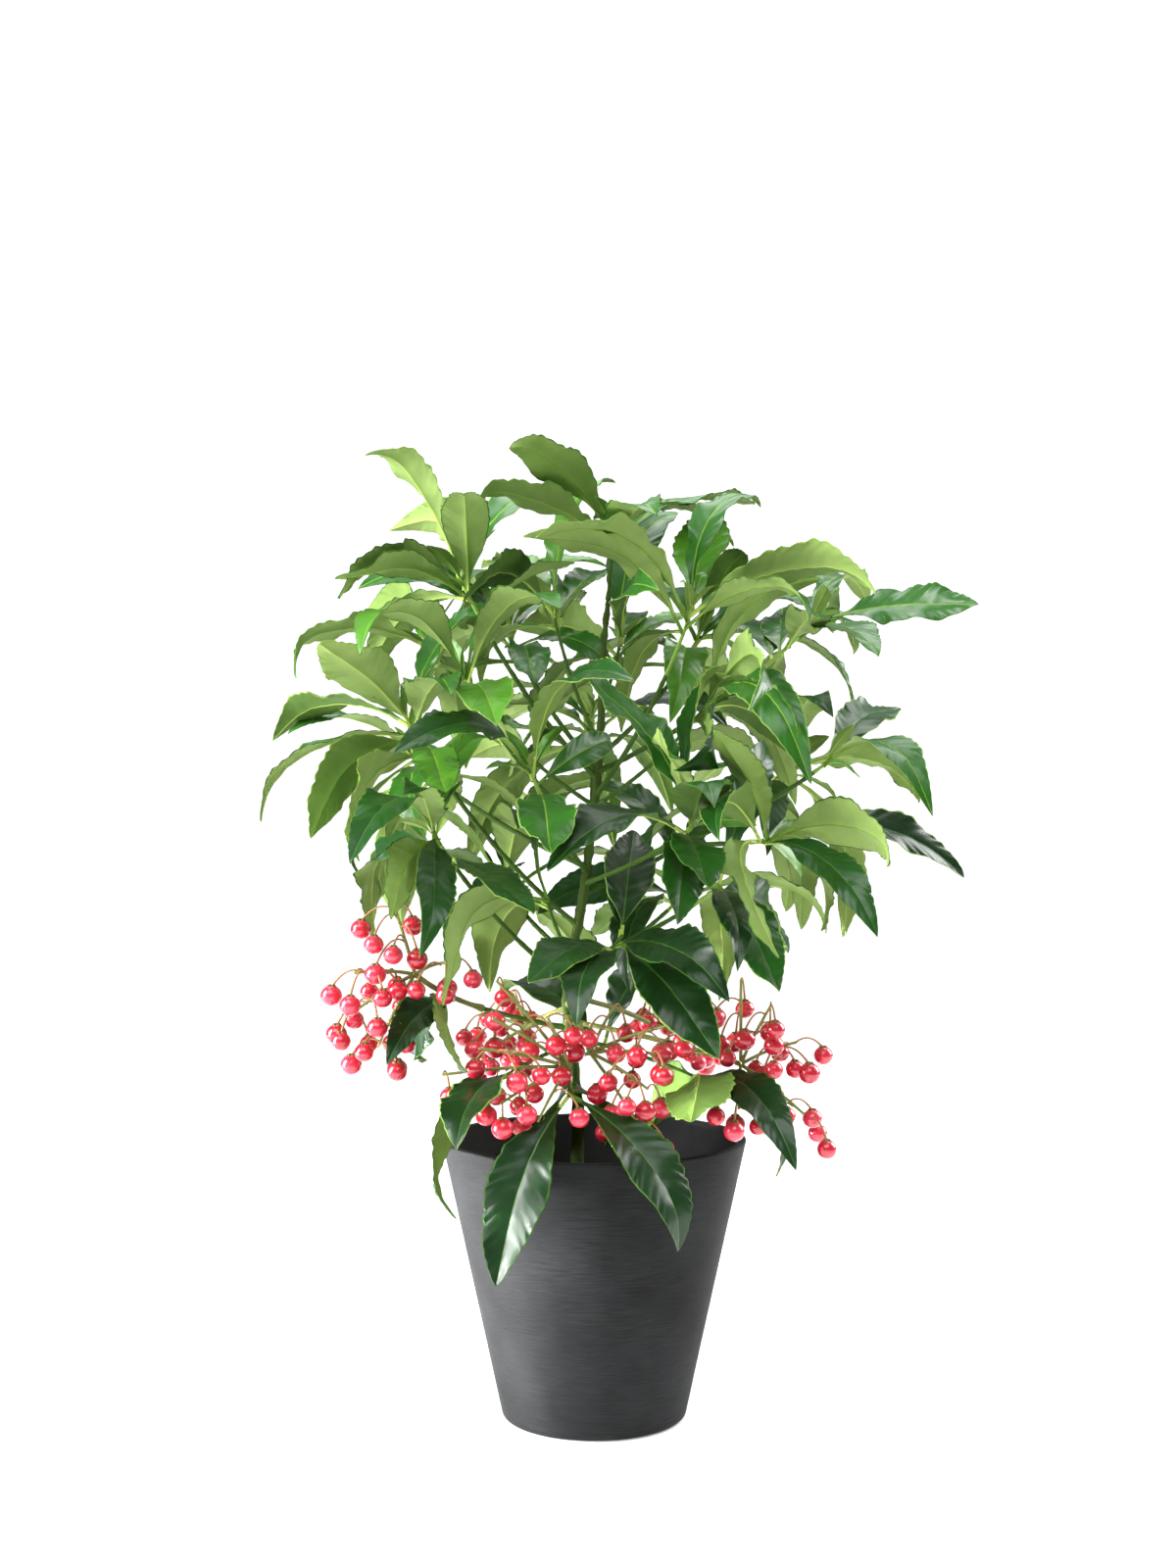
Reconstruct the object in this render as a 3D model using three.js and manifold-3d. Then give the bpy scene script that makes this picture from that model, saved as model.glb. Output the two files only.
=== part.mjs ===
// A coralberry shrub, Ardisia crenata, in a plain tapered pot. Millimetres, +Z up, front towards -Y.
// The origin is the middle of the pot's flat underside.
import * as THREE from "three";
import { mergeVertices } from "three/addons/utils/BufferGeometryUtils.js";
import Module from "manifold-3d";

const wasm = await Module();
wasm.setup();

// Pot and soil
const POT_HEIGHT = 137;
const RIM_RADIUS = 75;
const BASE_RADIUS = 45;
const BASE_ROUND = 4;
const ROUND_MIDDLE = [0.3, 0.35];
const WALL = 4;
const FLOOR_THICKNESS = 6;
const LIP_ROUND = 1;
const SOIL_TOP = 107;
const POT_SIDES = 40;

// Clear space between neighbouring solids, and how far off a neighbour is looked for
const GAP = 0.3;
const GAP_SEARCH = GAP + 0.1;

// A corner this far out of the plane of the other three makes a twisted side
const FLAT_ENOUGH = 0.01;

// Trunk: where it bends, [x, z] at the pot's middle plane, and its radii from foot to tip
const TRUNK_FOOT = SOIL_TOP + GAP;
const TRUNK_BENDS = [
  [-9, TRUNK_FOOT - 4],
  [-8, 147],
  [-13, 206],
  [-4.5, 262],
  [2, 318],
  [5, 382],
  [7, 402],
];
const FLARE_RADIUS = 5.4;
const FLARE_HEIGHT = 9;
const TRUNK_RADIUS = 3.3;
const TRUNK_TIP_RADIUS = 1.3;
const TRUNK_SIDES = 8;
const TRUNK_STEPS = 14;
const SHARE_STEP = 0.002;

// Boughs, and the stems that carry leaves
const BOUGH_RADIUS = 1.6;
const BOUGH_TIP_RADIUS = 1.3;
const STEM_TIP_RADIUS = 0.9;
const BOUGH_SIDES = 5;
const BOUGH_STEPS = 5;
const STEM_STEPS = 3;
const BOUGH_OUT = 0.6;
const BOUGH_UP = 0.4;
const LEAFY_SHARE = 0.8;
const TOP_LEAF_SHARE = 0.995;
const LEAF_SPACING = 3;
const USUAL_STEM = 24;
const ACROSS = [1, 0.2, 0.1];

// Leaves
const LEAF_LENGTH = 92;
const LEAF_WIDTH = 27;
const LEAF_THICKNESS = 1.2;
const LEAF_FOLD = 0.1;
const PETIOLE_SHARE = 0.08;
const PETIOLE_RADIUS = 1;
const BLADE_PEAK = 0.9;
const BLADE_TAPER = 1.1;
const LEAF_STATIONS = [0, 0.3, 0.68];
const USUAL_BOW = 0.16;
const BOW_TO_UPPER = 0.5;
const LEVEL_ENOUGH = 0.2;
const FLATTEST = 0.97;
const SLIM_SHARE = 0.4;

// What the seeded rule draws for a leaf: the least share of the usual size and how much more it may be,
// or, as one number, how many degrees it strays by
const SHOWN_LENGTH = [0.92, 0.1];
const SHOWN_WIDTH = [0.9, 0.2];
const FILL_LENGTH = [0.84, 0.16];
const FILL_WIDTH = [0.86, 0.2];
const FILL_BOW = [0.14, 0.12];
const HEADING_STRAY = 40;
const RISE_STRAY = 16;
const ROLL_STRAY = 50;
const TWIST_STRAY = 60;

// How steeply the topmost leaf of the seeded rule rises, and how much less the lowest one does
const TOP_RISE = 50;
const RISE_SPAN = 85;

// Ways a leaf may give way to what stands near it: its length as a share, its roll, its turn and its
// width as a share
const NUDGES = [
  [1, 0, 0, 1],
  [1.06, 0, 0, 1],
  [0.95, 0, 0, 1],
  [1, 14, 0, 1],
  [1, -14, 0, 1],
  [1.12, 0, 0, 1],
  [1.06, 14, 3, 1],
  [1.06, -14, -3, 1],
  [0.95, 25, 6, 0.9],
  [0.95, -25, -6, 0.9],
  [1.12, 25, -6, 0.9],
  [1.12, -25, 6, 0.9],
  [1, 40, 9, 0.85],
  [1, -40, -9, 0.85],
  [0.85, 15, 4, 0.75],
  [0.85, -15, -4, 0.75],
  [0.8, 30, -10, 0.7],
  [0.8, -30, 10, 0.7],
];

// The place from which the front view is seen
const EYE = [-3, -1035, 311];

// The egg-shaped room that the crown keeps to
const CROWN_MIDDLE = [4, 0, 315];
const CROWN_REACH = [172, 158, 164];
const RISE_STEP = 14;

// Berries
const BERRY_RADIUS = 4.7;
const PEDUNCLE_RADIUS = 1.3;
const SPOKE_RADIUS = 0.9;
const PEDICEL_RADIUS = 0.5;
const PEDICEL_LENGTH = 17;
const PEDICEL_RISE = 5;
const SPOKE_BARE = 0.5;
const BERRY_SUNK = 0.8;
const BERRY_SIZE = [0.9, 0.2];
const BERRY_DROP = [3, 9];
const PEDICEL_REACH = [0.55, 0.45];
const PEDICEL_STRAY = 90;

// Edges shorter than this are tidied away after fusing
const TIDY = 0.15;

// The seeded generator's numbers
const SEED_STEP = 7919;
const MULTIPLIER = 1664525;
const INCREMENT = 1013904223;
const STATES = 2 ** 32;

const GOLDEN_ANGLE = 137.5;
const UP = new THREE.Vector3(0, 0, 1);
const EYE_POINT = new THREE.Vector3(...EYE);

const FINISHES = {
  pot: { color: 0x4a4b4e, roughness: 0.75 },
  soil: { color: 0x2f241b, roughness: 1 },
  trunk: { color: 0x4b5a2b, roughness: 0.8 },
  bough: { color: 0x4f7a2c, roughness: 0.7 },
  leaf: { color: 0x3d7a2e, roughness: 0.45 },
  fruit: { color: 0xd6323f, roughness: 0.3 },
};

// Each shoot is a bough that rises from the trunk at height foot, or from another bough at a share of
// that bough's length, and ends as a leafy stem whose tip is at [x, y, z]. Without a bough the leafy
// stem runs all the way. Each leaf is given as the front view shows it, from the tip of the stem down:
// [turn in degrees from +X, length seen, share of the width seen (minus: its underside),
//  1 where it comes forward or -1 where it goes back, bow as a share of its length, twist in degrees].
// fill is how many more leaves the seeded rule grows round the stem, towards the sector of headings.
const REAR = [35, 145];
const ALL_ROUND = [0, 360];
const SHOOTS = [
  {
    name: "top", seed: 3, foot: 402, tip: [9, -5, 433], fill: 3, sector: REAR,
    leaves: [
      [138, 72, -0.8, 1, 0.12, 30],
      [160, 80, -0.5, 1, 0.1],
      [14, 72, 0.3, -1, 0.2, -40],
      [52, 34, -0.6, 1, 0.1],
    ],
  },
  {
    name: "upper_left", seed: 1, foot: 313, tip: [-65, -15, 411], stem: 34, fill: 3, sector: REAR,
    leaves: [
      [122, 84, -0.2, 1, 0.1, 60],
      [186, 62, -0.7, 1, 0.18],
      [133, 44, -0.4, -1, 0.2],
      [93, 58, -1, 1, 0.08],
      [174, 62, -0.6, 1, 0.16],
    ],
  },
  {
    name: "upper_middle", seed: 6, foot: 305, tip: [47, -30, 395], stem: 34, fill: 3, sector: REAR,
    leaves: [
      [80, 47, 0.95, -1, 0.05],
      [11, 96, -0.6, 1, 0.15],
      [151, 83, -0.75, 1, 0.28],
      [13, 68, -0.5, 1, 0.15],
      [150, 86, -0.7, 1, 0.25],
    ],
  },
  {
    name: "upper_right", seed: 8, foot: 317, tip: [108, 0, 391], stem: 48, spread: 34, fill: 2,
    sector: [70, 140],
    leaves: [
      [5, 84, 0.6, 1, 0.06, 40],
      [30, 36, 0.4, -1, 0.2],
      [350, 40, 0.2, 1, 0.1],
      [356, 34, 0.4, -1, 0.2],
      [47, 26, -0.9, 1, 0.05],
      [85, 22, 0.9, -1, 0.05],
      [110, 24, 0.95, -1, 0.05],
    ],
  },
  {
    name: "left_front", seed: 6, foot: 285, tip: [-62, -35, 362], stem: 22, fill: 1, sector: REAR,
    leaves: [
      [160, 59, -0.5, 1, 0.26],
      [42, 61, -0.6, 1, 0.22],
      [305, 22, 0.9, 1, 0.1],
      [292, 44, 0.5, -1, 0.1],
    ],
  },
  {
    name: "left", seed: 6, foot: 241, tip: [-90, -22, 342], stem: 28, fill: 1, sector: REAR,
    leaves: [
      [140, 55, -0.9, 1, 0.06],
      [180, 66, -0.15, -1, 0.14, 30],
      [52, 31, -0.9, 1, 0.1],
      [204, 91, 0.14, 1, 0.17, 35],
      [223, 68, -0.85, 1, 0.18],
      [292, 30, 0.95, 1, 0.1],
      [218, 45, -0.5, -1, 0.2],
      [232, 65, -0.4, 1, 0.2],
    ],
  },
  {
    name: "middle_right", seed: 8, foot: 262, tip: [47, -55, 292], stem: 18, fill: 1, sector: REAR,
    leaves: [
      [128, 87, 0.6, -1, 0.12],
      [116, 46, -0.3, 1, 0.1],
      [69, 28, -0.9, 1, 0.05],
      [16, 36, 0.8, -1, 0.08],
      [197, 67, 0.5, 1, 0.2],
      [266, 43, 0.9, 1, 0.1],
      [294, 30, 0.8, 1, 0.1],
    ],
  },
  {
    name: "right", seed: 9, on: "middle_right", share: 0.72, tip: [115, -5, 322], stem: 12,
    fill: 0, sector: REAR,
    leaves: [
      [33, 40, 0.8, -1, 0.14],
      [343, 56, 0.25, 1, 0.22, 30],
    ],
  },
  {
    name: "right_low", seed: 10, on: "middle_right", share: 0.9, tip: [83, -45, 284], stem: 14,
    fill: 0, sector: REAR,
    leaves: [
      [118, 54, -0.4, 1, 0.08, 70],
      [353, 66, -0.8, 1, 0.14],
      [350, 96, 0.5, -1, 0.18, 40],
      [323, 69, 0.8, 1, 0.15],
      [165, 26, -0.7, 1, 0.2],
      [340, 34, 0.7, -1, 0.1],
      [281, 56, -0.5, 1, 0.28],
      [312, 56, 0.3, -1, 0.2],
    ],
  },
  {
    name: "middle_left", seed: 11, foot: 268, tip: [-30, -50, 317], stem: 24, fill: 0, sector: REAR,
    leaves: [
      [174, 65, 0.5, 1, 0.22],
      [45, 66, -0.3, 1, 0.3, 30],
      [155, 30, -0.6, -1, 0.15],
      [39, 48, 0.85, -1, 0.08],
      [156, 36, -0.6, -1, 0.2],
      [278, 33, 0.9, 1, 0.1],
    ],
  },
  {
    name: "left_low", seed: 12, foot: 213, tip: [-77, -35, 288], stem: 20, fill: 1, sector: REAR,
    leaves: [
      [269, 53, 0.9, 1, 0.08],
      [111, 30, -0.8, 1, 0.05],
      [241, 42, -0.85, 1, 0.1],
      [192, 44, 0.3, 1, 0.3],
      [232, 54, 0.2, -1, 0.3, 30],
      [346, 60, -0.35, -1, 0.15],
      [325, 50, 0.5, 1, 0.05],
    ],
  },
  {
    name: "right_lower", seed: 8, foot: 222, tip: [60, -30, 262], stem: 18, fill: 2, sector: REAR,
    leaves: [
      [298, 60, 0.9, 1, 0.1],
      [294, 34, 0.8, 1, 0.1],
      [320, 45, 0.6, -1, 0.15],
    ],
  },
  {
    name: "low_left", seed: 14, foot: 190, tip: [-73, -4, 207], stem: 14, fill: 1, sector: REAR,
    leaves: [
      [270, 40, 0.4, 1, 0.1],
      [240, 40, 0.8, -1, 0.1],
      [213, 46, 0.5, 1, 0.15],
    ],
  },
  {
    name: "left_rear", seed: 8, foot: 300, tip: [-82, 15, 380], fill: 2, sector: REAR,
    leaves: [
      [184, 80, -0.3, 1, 0.15, 30],
      [150, 35, -0.5, -1, 0.2],
      [20, 40, -0.5, -1, 0.2],
    ],
  },
  {
    name: "top_rear", seed: 7, foot: 350, tip: [13, 22, 381], fill: 3, sector: REAR,
    leaves: [
      [75, 35, -0.6, 1, 0.1],
      [119, 36, -0.9, 1, 0.1],
      [163, 50, -0.8, -1, 0.1],
      [30, 40, 0.5, -1, 0.1],
    ],
  },
  {
    name: "top_left", seed: 1, foot: 330, tip: [-20, 15, 395], fill: 3, sector: REAR,
    leaves: [
      [172, 42, -0.8, 1, 0.25],
      [145, 45, 0.5, -1, 0.2],
      [40, 42, 0.5, -1, 0.15],
    ],
  },
  {
    name: "inner_right", seed: 5, foot: 300, tip: [56, -25, 352], fill: 1, sector: REAR,
    leaves: [
      [350, 26, -0.8, 1, 0.3],
      [351, 52, -0.4, 1, 0.12],
      [334, 61, 0.5, 1, 0.3],
      [341, 50, -0.7, -1, 0.2],
      [319, 64, -0.8, -1, 0.3],
      [296, 26, -0.7, 1, 0.1],
    ],
  },
  {
    name: "front_low", seed: 19, foot: 211, tip: [13, -40, 239], fill: 0, sector: REAR,
    leaves: [
      [86, 50, 0.95, -1, 0.05],
      [71, 32, 0.85, -1, 0.1],
      [310, 75, 0.95, 1, 0.1],
      [340, 56, 0.8, 1, 0.12],
      [205, 44, 0.7, 1, 0.12],
      [235, 30, 0.8, 1, 0.1],
    ],
  },
  {
    name: "inner_left", seed: 7, foot: 225, tip: [-23, -12, 254], fill: 2, sector: REAR,
    leaves: [
      [228, 67, -0.6, 1, 0.28],
      [231, 50, -0.7, -1, 0.25],
    ],
  },
  {
    name: "rim_front", seed: 21, foot: 178, tip: [-12, -60, 166], fill: 0, sector: REAR,
    leaves: [
      [250, 92, 0.95, 1, 0.16],
      [310, 91, 0.8, 1, 0.12],
      [306, 30, -0.8, -1, 0.1],
      [266, 34, -0.8, -1, 0.1],
    ],
  },
  {
    name: "rim_left", seed: 22, foot: 182, tip: [-42, -34, 172], fill: 0, sector: REAR,
    leaves: [
      [224, 40, 0.9, 1, 0.1],
      [241, 80, -0.35, 1, 0.14],
      [272, 26, 0.5, 1, 0.1],
    ],
  },
  {
    name: "rim_right", seed: 23, foot: 186, tip: [55, -14, 166], fill: 0, sector: REAR,
    leaves: [
      [216, 30, -0.95, -1, 0.1],
      [309, 62, 0.35, 1, 0.2],
      [262, 22, -0.9, 1, 0.1],
      [319, 69, 0.35, 1, 0.25],
    ],
  },
  {
    name: "back_upper_left", seed: 3, foot: 318, tip: [-45, 55, 392], stem: 30,
    leaves: [], fill: 10, sector: ALL_ROUND,
  },
  {
    name: "back_upper_right", seed: 1, foot: 324, tip: [55, 58, 388], stem: 30,
    leaves: [], fill: 10, sector: ALL_ROUND,
  },
  {
    name: "back_left", seed: 5, foot: 270, tip: [-95, 60, 325], stem: 26,
    leaves: [], fill: 10, sector: ALL_ROUND,
  },
  {
    name: "back_middle", seed: 34, foot: 285, tip: [0, 88, 345], stem: 26,
    leaves: [], fill: 10, sector: ALL_ROUND,
  },
  {
    name: "back_right", seed: 2, foot: 256, tip: [100, 62, 318], stem: 26,
    leaves: [], fill: 10, sector: ALL_ROUND,
  },
  {
    name: "back_low_left", seed: 1, foot: 225, tip: [-48, 72, 258], stem: 22,
    leaves: [], fill: 9, sector: ALL_ROUND,
  },
  {
    name: "back_low_right", seed: 37, foot: 215, tip: [49, 73, 254], stem: 22,
    leaves: [], fill: 9, sector: ALL_ROUND,
  },
  {
    name: "rim_back", seed: 38, foot: 176, tip: [4, 52, 172], leaves: [], fill: 6, sector: [20, 160],
  },
];

// Each spray of fruit hangs from a stalk that leaves the trunk or a bough and parts at a knot into
// spokes: [turn in degrees from +X, length seen, how far it comes forward, berries on it].
const SPRAYS = [
  {
    name: "fruit_left", seed: 51, on: "low_left", share: 0.85, knot: [-85, -42, 221],
    spokes: [
      [178, 28, 4, 3],
      [212, 36, 4, 3],
      [243, 38, 2, 3],
      [108, 34, -4, 3],
      [20, 18, 4, 2],
    ],
  },
  {
    name: "fruit_middle_left", seed: 52, foot: 196, knot: [-12, -56, 179],
    spokes: [
      [182, 58, 12, 3],
      [165, 42, 20, 3],
      [146, 42, 10, 3],
      [205, 34, 18, 3],
      [112, 26, 10, 2],
      [238, 26, 20, 2],
      [130, 52, 0, 2],
    ],
  },
  {
    name: "fruit_middle_right", seed: 53, foot: 203, knot: [-2, -44, 184],
    spokes: [
      [22, 38, 14, 3],
      [4, 30, 20, 3],
      [332, 30, 20, 3],
      [305, 40, 16, 2],
      [62, 24, -4, 2],
    ],
  },
  {
    name: "fruit_right", seed: 54, foot: 194, knot: [70, -32, 177],
    spokes: [
      [64, 32, 6, 3],
      [90, 40, 2, 2],
      [24, 28, 8, 3],
      [322, 42, 10, 3],
      [262, 18, 22, 2],
    ],
  },
  {
    name: "fruit_rear_left", seed: 55, foot: 200, knot: [-34, 40, 186],
    spokes: [
      [170, 26, -18, 3],
      [120, 18, -26, 3],
      [215, 22, -14, 3],
    ],
  },
  {
    name: "fruit_rear_right", seed: 56, foot: 206, knot: [30, 38, 188],
    spokes: [
      [20, 26, -20, 3],
      [75, 20, -24, 3],
      [335, 24, -12, 3],
    ],
  },
];

// A small seeded generator, so that the plant grows the same way each time.
function seeded(seed) {
  let state = (seed * SEED_STEP) >>> 0;
  return () => {
    state = (Math.imul(state, MULTIPLIER) + INCREMENT) >>> 0;
    return state / STATES;
  };
}

function drawn([least, more], random) {
  return least + more * random();
}

function strayed(degrees, random) {
  return degrees * (random() - 0.5);
}

function radians(degrees) {
  return (degrees * Math.PI) / 180;
}

function vector(values) {
  return new THREE.Vector3(...values);
}

// Solids from three.js geometry
function solidOf(geometry) {
  const bare = geometry.clone();
  bare.deleteAttribute("normal");
  bare.deleteAttribute("uv");
  const merged = mergeVertices(bare, 1e-4);
  const made = new wasm.Manifold(
    new wasm.Mesh({
      numProp: 3,
      vertProperties: merged.attributes.position.array,
      triVerts: new Uint32Array(merged.index.array),
    }),
  );
  return made;
}

function geometryOf(solid) {
  const mesh = solid.getMesh();
  const geometry = new THREE.BufferGeometry();
  geometry.setAttribute("position", new THREE.BufferAttribute(mesh.vertProperties, 3));
  geometry.setIndex(new THREE.BufferAttribute(mesh.triVerts, 1));
  geometry.computeVertexNormals();
  return geometry;
}

// Two triangles for four corners, split so that a twisted side bulges outward and never crosses
// the side behind it.
function quadFaces(points, [a, b, c, d]) {
  const [toB, toC, toD] = [b, c, d].map((corner) => points[corner].clone().sub(points[a]));
  const dip = new THREE.Vector3().crossVectors(toB, toC).normalize().dot(toD);
  return dip > FLAT_ENOUGH ? [a, b, d, b, c, d] : [a, b, c, a, c, d];
}

// A closed skin over rings of points; a ring of one point closes to a tip.
function skin(rings) {
  const points = rings.flat();
  const positions = points.flatMap((point) => point.toArray());
  const starts = [];
  rings.reduce((start, ring) => {
    starts.push(start);
    return start + ring.length;
  }, 0);
  const faces = [];
  const sides = rings[0].length;
  for (let i = 0; i + 1 < rings.length; i += 1) {
    for (let j = 0; j < sides; j += 1) {
      const k = (j + 1) % sides;
      const a = starts[i] + j;
      const b = starts[i] + k;
      if (rings[i + 1].length === 1) {
        faces.push(a, b, starts[i + 1]);
      } else {
        faces.push(...quadFaces(points, [a, b, starts[i + 1] + k, starts[i + 1] + j]));
      }
    }
  }
  const last = rings.length - 1;
  for (let j = 1; j + 1 < sides; j += 1) {
    faces.push(starts[0], starts[0] + j + 1, starts[0] + j);
    if (rings[last].length > 1) faces.push(starts[last], starts[last] + j, starts[last] + j + 1);
  }
  const geometry = new THREE.BufferGeometry();
  geometry.setAttribute("position", new THREE.Float32BufferAttribute(positions, 3));
  geometry.setIndex(faces);
  return geometry;
}

// A round limb along a curve between two shares of its length, with a radius for each share.
function limb(curve, from, to, radiusAt, sides, steps) {
  const rings = [];
  let across = null;
  for (let i = 0; i <= steps; i += 1) {
    const share = from + ((to - from) * i) / steps;
    const point = curve.getPoint(share);
    const along = curve.getTangent(share);
    if (!across) across = vector(ACROSS);
    across = across.clone().addScaledVector(along, -across.dot(along)).normalize();
    const other = new THREE.Vector3().crossVectors(along, across);
    const radius = radiusAt(share);
    const ring = [];
    for (let j = 0; j < sides; j += 1) {
      const angle = (2 * Math.PI * j) / sides;
      ring.push(
        point
          .clone()
          .addScaledVector(across, radius * Math.cos(angle))
          .addScaledVector(other, radius * Math.sin(angle)),
      );
    }
    rings.push(ring);
  }
  return solidOf(skin(rings));
}

function largestBody(solid) {
  return solid.decompose().sort((a, b) => b.volume() - a.volume())[0];
}

// What already stands, so that later leaves keep clear of it
const standing = [];

function stand(solid, owner) {
  standing.push({ solid, owner, box: solid.boundingBox() });
}

function boxesMeet(a, b) {
  return [0, 1, 2].every((i) => a.min[i] - GAP < b.max[i] && b.min[i] - GAP < a.max[i]);
}

function isClear(solid, owner) {
  const box = solid.boundingBox();
  return standing.every(
    (other) =>
      other.owner === owner || !boxesMeet(box, other.box) || solid.minGap(other.solid, GAP_SEARCH) > GAP,
  );
}

// Where a leaf of this length ends, so that from the front its tip is seen at the given turn and
// distance from its base, on the near side or the far side of it.
function shownTip(base, turn, seen, side, length) {
  const aim = base.clone().add(vector([seen * Math.cos(turn), 0, seen * Math.sin(turn)]));
  const ray = aim.clone().sub(EYE_POINT).normalize();
  const toBase = base.clone().sub(EYE_POINT);
  const nearest = toBase.dot(ray);
  const away = Math.max(0, length * length - toBase.lengthSq() + nearest * nearest);
  return EYE_POINT.clone().addScaledVector(ray, nearest - side * Math.sqrt(away));
}

// The way a leaf's upper side faces, from how much of its width the front view shows.
function shownUpper(base, along, face, tiltSign) {
  const toEye = EYE_POINT.clone().sub(base).normalize();
  const frontal = toEye.clone().addScaledVector(along, -toEye.dot(along)).normalize();
  const level = new THREE.Vector3().crossVectors(along, frontal);
  const sign = Math.abs(level.z) > LEVEL_ENOUGH ? Math.sign(level.z) : tiltSign;
  const rest = Math.sqrt(Math.max(0, 1 - face * face));
  return frontal.multiplyScalar(face).addScaledVector(level, sign * rest).normalize();
}

function headed(heading, rise) {
  const level = Math.cos(rise);
  return vector([level * Math.cos(heading), level * Math.sin(heading), Math.sin(rise)]);
}

function bladeShape(share) {
  const blade = Math.max(0, share - PETIOLE_SHARE) / (1 - PETIOLE_SHARE);
  return Math.sin(Math.PI * blade ** BLADE_PEAK) ** BLADE_TAPER;
}

// A leaf blade: a bowed midrib from base to tip, folded up a little on both sides of it.
function leafRings(leaf, width) {
  const { base, along, upper, length, bow, twist } = leaf;
  const lift = UP.clone().addScaledVector(along, -UP.dot(along));
  const bowWay = upper.clone().multiplyScalar(BOW_TO_UPPER).add(lift).normalize();
  return LEAF_STATIONS.map((share) => {
    const middle = base
      .clone()
      .addScaledVector(along, length * share)
      .addScaledVector(bowWay, length * bow * 4 * share * (1 - share));
    const tangent = along.clone().addScaledVector(bowWay, bow * 4 * (1 - 2 * share)).normalize();
    const turned = upper.clone().applyAxisAngle(along, twist * (share - LEAF_STATIONS[1]));
    const side = new THREE.Vector3().crossVectors(tangent, turned).normalize();
    const normal = new THREE.Vector3().crossVectors(side, tangent);
    const half = share === 0 ? PETIOLE_RADIUS : (width / 2) * bladeShape(share);
    const thick = share === 0 ? PETIOLE_RADIUS : LEAF_THICKNESS / 2;
    const fold = share === 0 ? 0 : half * LEAF_FOLD;
    return [
      middle.clone().addScaledVector(side, -half).addScaledVector(normal, fold),
      middle.clone().addScaledVector(side, half).addScaledVector(normal, fold),
      middle.clone().addScaledVector(normal, -thick),
    ];
  });
}

function leafSolids(leaf) {
  const tip = [leaf.base.clone().addScaledVector(leaf.along, leaf.length)];
  return {
    whole: solidOf(skin([...leafRings(leaf, leaf.width), tip])),
    slim: solidOf(skin([...leafRings(leaf, leaf.width * SLIM_SHARE).slice(1), tip])),
  };
}

// The first of the ways a leaf may give way in which it touches nothing; none may be free.
function growLeaf(owner, blades, leafAt) {
  for (const [stretch, roll, turn, broad] of NUDGES) {
    const leaf = leafAt(stretch, radians(roll), radians(turn), broad);
    const { whole, slim } = leafSolids(leaf);
    const room = blades.every((other) => slim.minGap(other, GAP_SEARCH) > GAP);
    if (room && isClear(whole, owner)) {
      blades.push(slim);
      stand(whole, owner);
      return whole;
    }
  }
  return null;
}

function insideCrown(point) {
  const across = point.toArray().map((value, i) => (value - CROWN_MIDDLE[i]) / CROWN_REACH[i]);
  return Math.hypot(...across) < 1;
}

function outsidePot(point) {
  return point.z > POT_HEIGHT || Math.hypot(point.x, point.y) > RIM_RADIUS;
}

// Pot and soil
function turned(profile) {
  const points = profile.map(([radius, height]) => new THREE.Vector2(radius, height));
  const lathe = new THREE.LatheGeometry(points, POT_SIDES);
  lathe.rotateX(Math.PI / 2);
  return solidOf(lathe);
}

function outerRadius(height) {
  return BASE_RADIUS + ((RIM_RADIUS - BASE_RADIUS) * height) / POT_HEIGHT;
}

function makePot() {
  const inner = (height) => outerRadius(height) - WALL;
  return turned([
    [0, 0],
    [BASE_RADIUS - BASE_ROUND, 0],
    [BASE_RADIUS - BASE_ROUND * ROUND_MIDDLE[0], BASE_ROUND * ROUND_MIDDLE[1]],
    [outerRadius(BASE_ROUND), BASE_ROUND],
    [outerRadius(POT_HEIGHT - LIP_ROUND), POT_HEIGHT - LIP_ROUND],
    [RIM_RADIUS - LIP_ROUND, POT_HEIGHT],
    [inner(POT_HEIGHT) + LIP_ROUND, POT_HEIGHT],
    [inner(POT_HEIGHT - LIP_ROUND), POT_HEIGHT - LIP_ROUND],
    [inner(FLOOR_THICKNESS), FLOOR_THICKNESS],
    [0, FLOOR_THICKNESS],
  ]);
}

function makeSoil() {
  const low = FLOOR_THICKNESS + GAP;
  const radius = (height) => outerRadius(height) - WALL - GAP;
  return turned([
    [0, low],
    [radius(low), low],
    [radius(SOIL_TOP), SOIL_TOP],
    [0, SOIL_TOP],
  ]);
}

// Trunk
const trunkCurve = new THREE.CatmullRomCurve3(TRUNK_BENDS.map(([x, z]) => new THREE.Vector3(x, 0, z)));

function trunkRadius(share) {
  const height = trunkCurve.getPoint(share).z - TRUNK_FOOT;
  const flare = (FLARE_RADIUS - TRUNK_RADIUS) * Math.max(0, 1 - height / FLARE_HEIGHT) ** 2;
  return TRUNK_RADIUS + (TRUNK_TIP_RADIUS - TRUNK_RADIUS) * share + flare;
}

function makeTrunk(extra) {
  const rough = limb(trunkCurve, 0, 1, (share) => trunkRadius(share) + extra, TRUNK_SIDES, TRUNK_STEPS);
  return rough.trimByPlane([0, 0, 1], TRUNK_FOOT);
}

function trunkShareAt(height) {
  let share = 0;
  while (share < 1 && trunkCurve.getPoint(share).z < height) share += SHARE_STEP;
  return Math.min(share, 1);
}

// A shoot's line from its foot to its tip, out first and then up.
function shootCurve(foot, tip) {
  const knee = new THREE.Vector3(
    foot.x + (tip.x - foot.x) * BOUGH_OUT,
    foot.y + (tip.y - foot.y) * BOUGH_OUT,
    foot.z + (tip.z - foot.z) * BOUGH_UP,
  );
  return new THREE.QuadraticBezierCurve3(foot, knee, tip);
}

const carriers = new Map();

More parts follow.
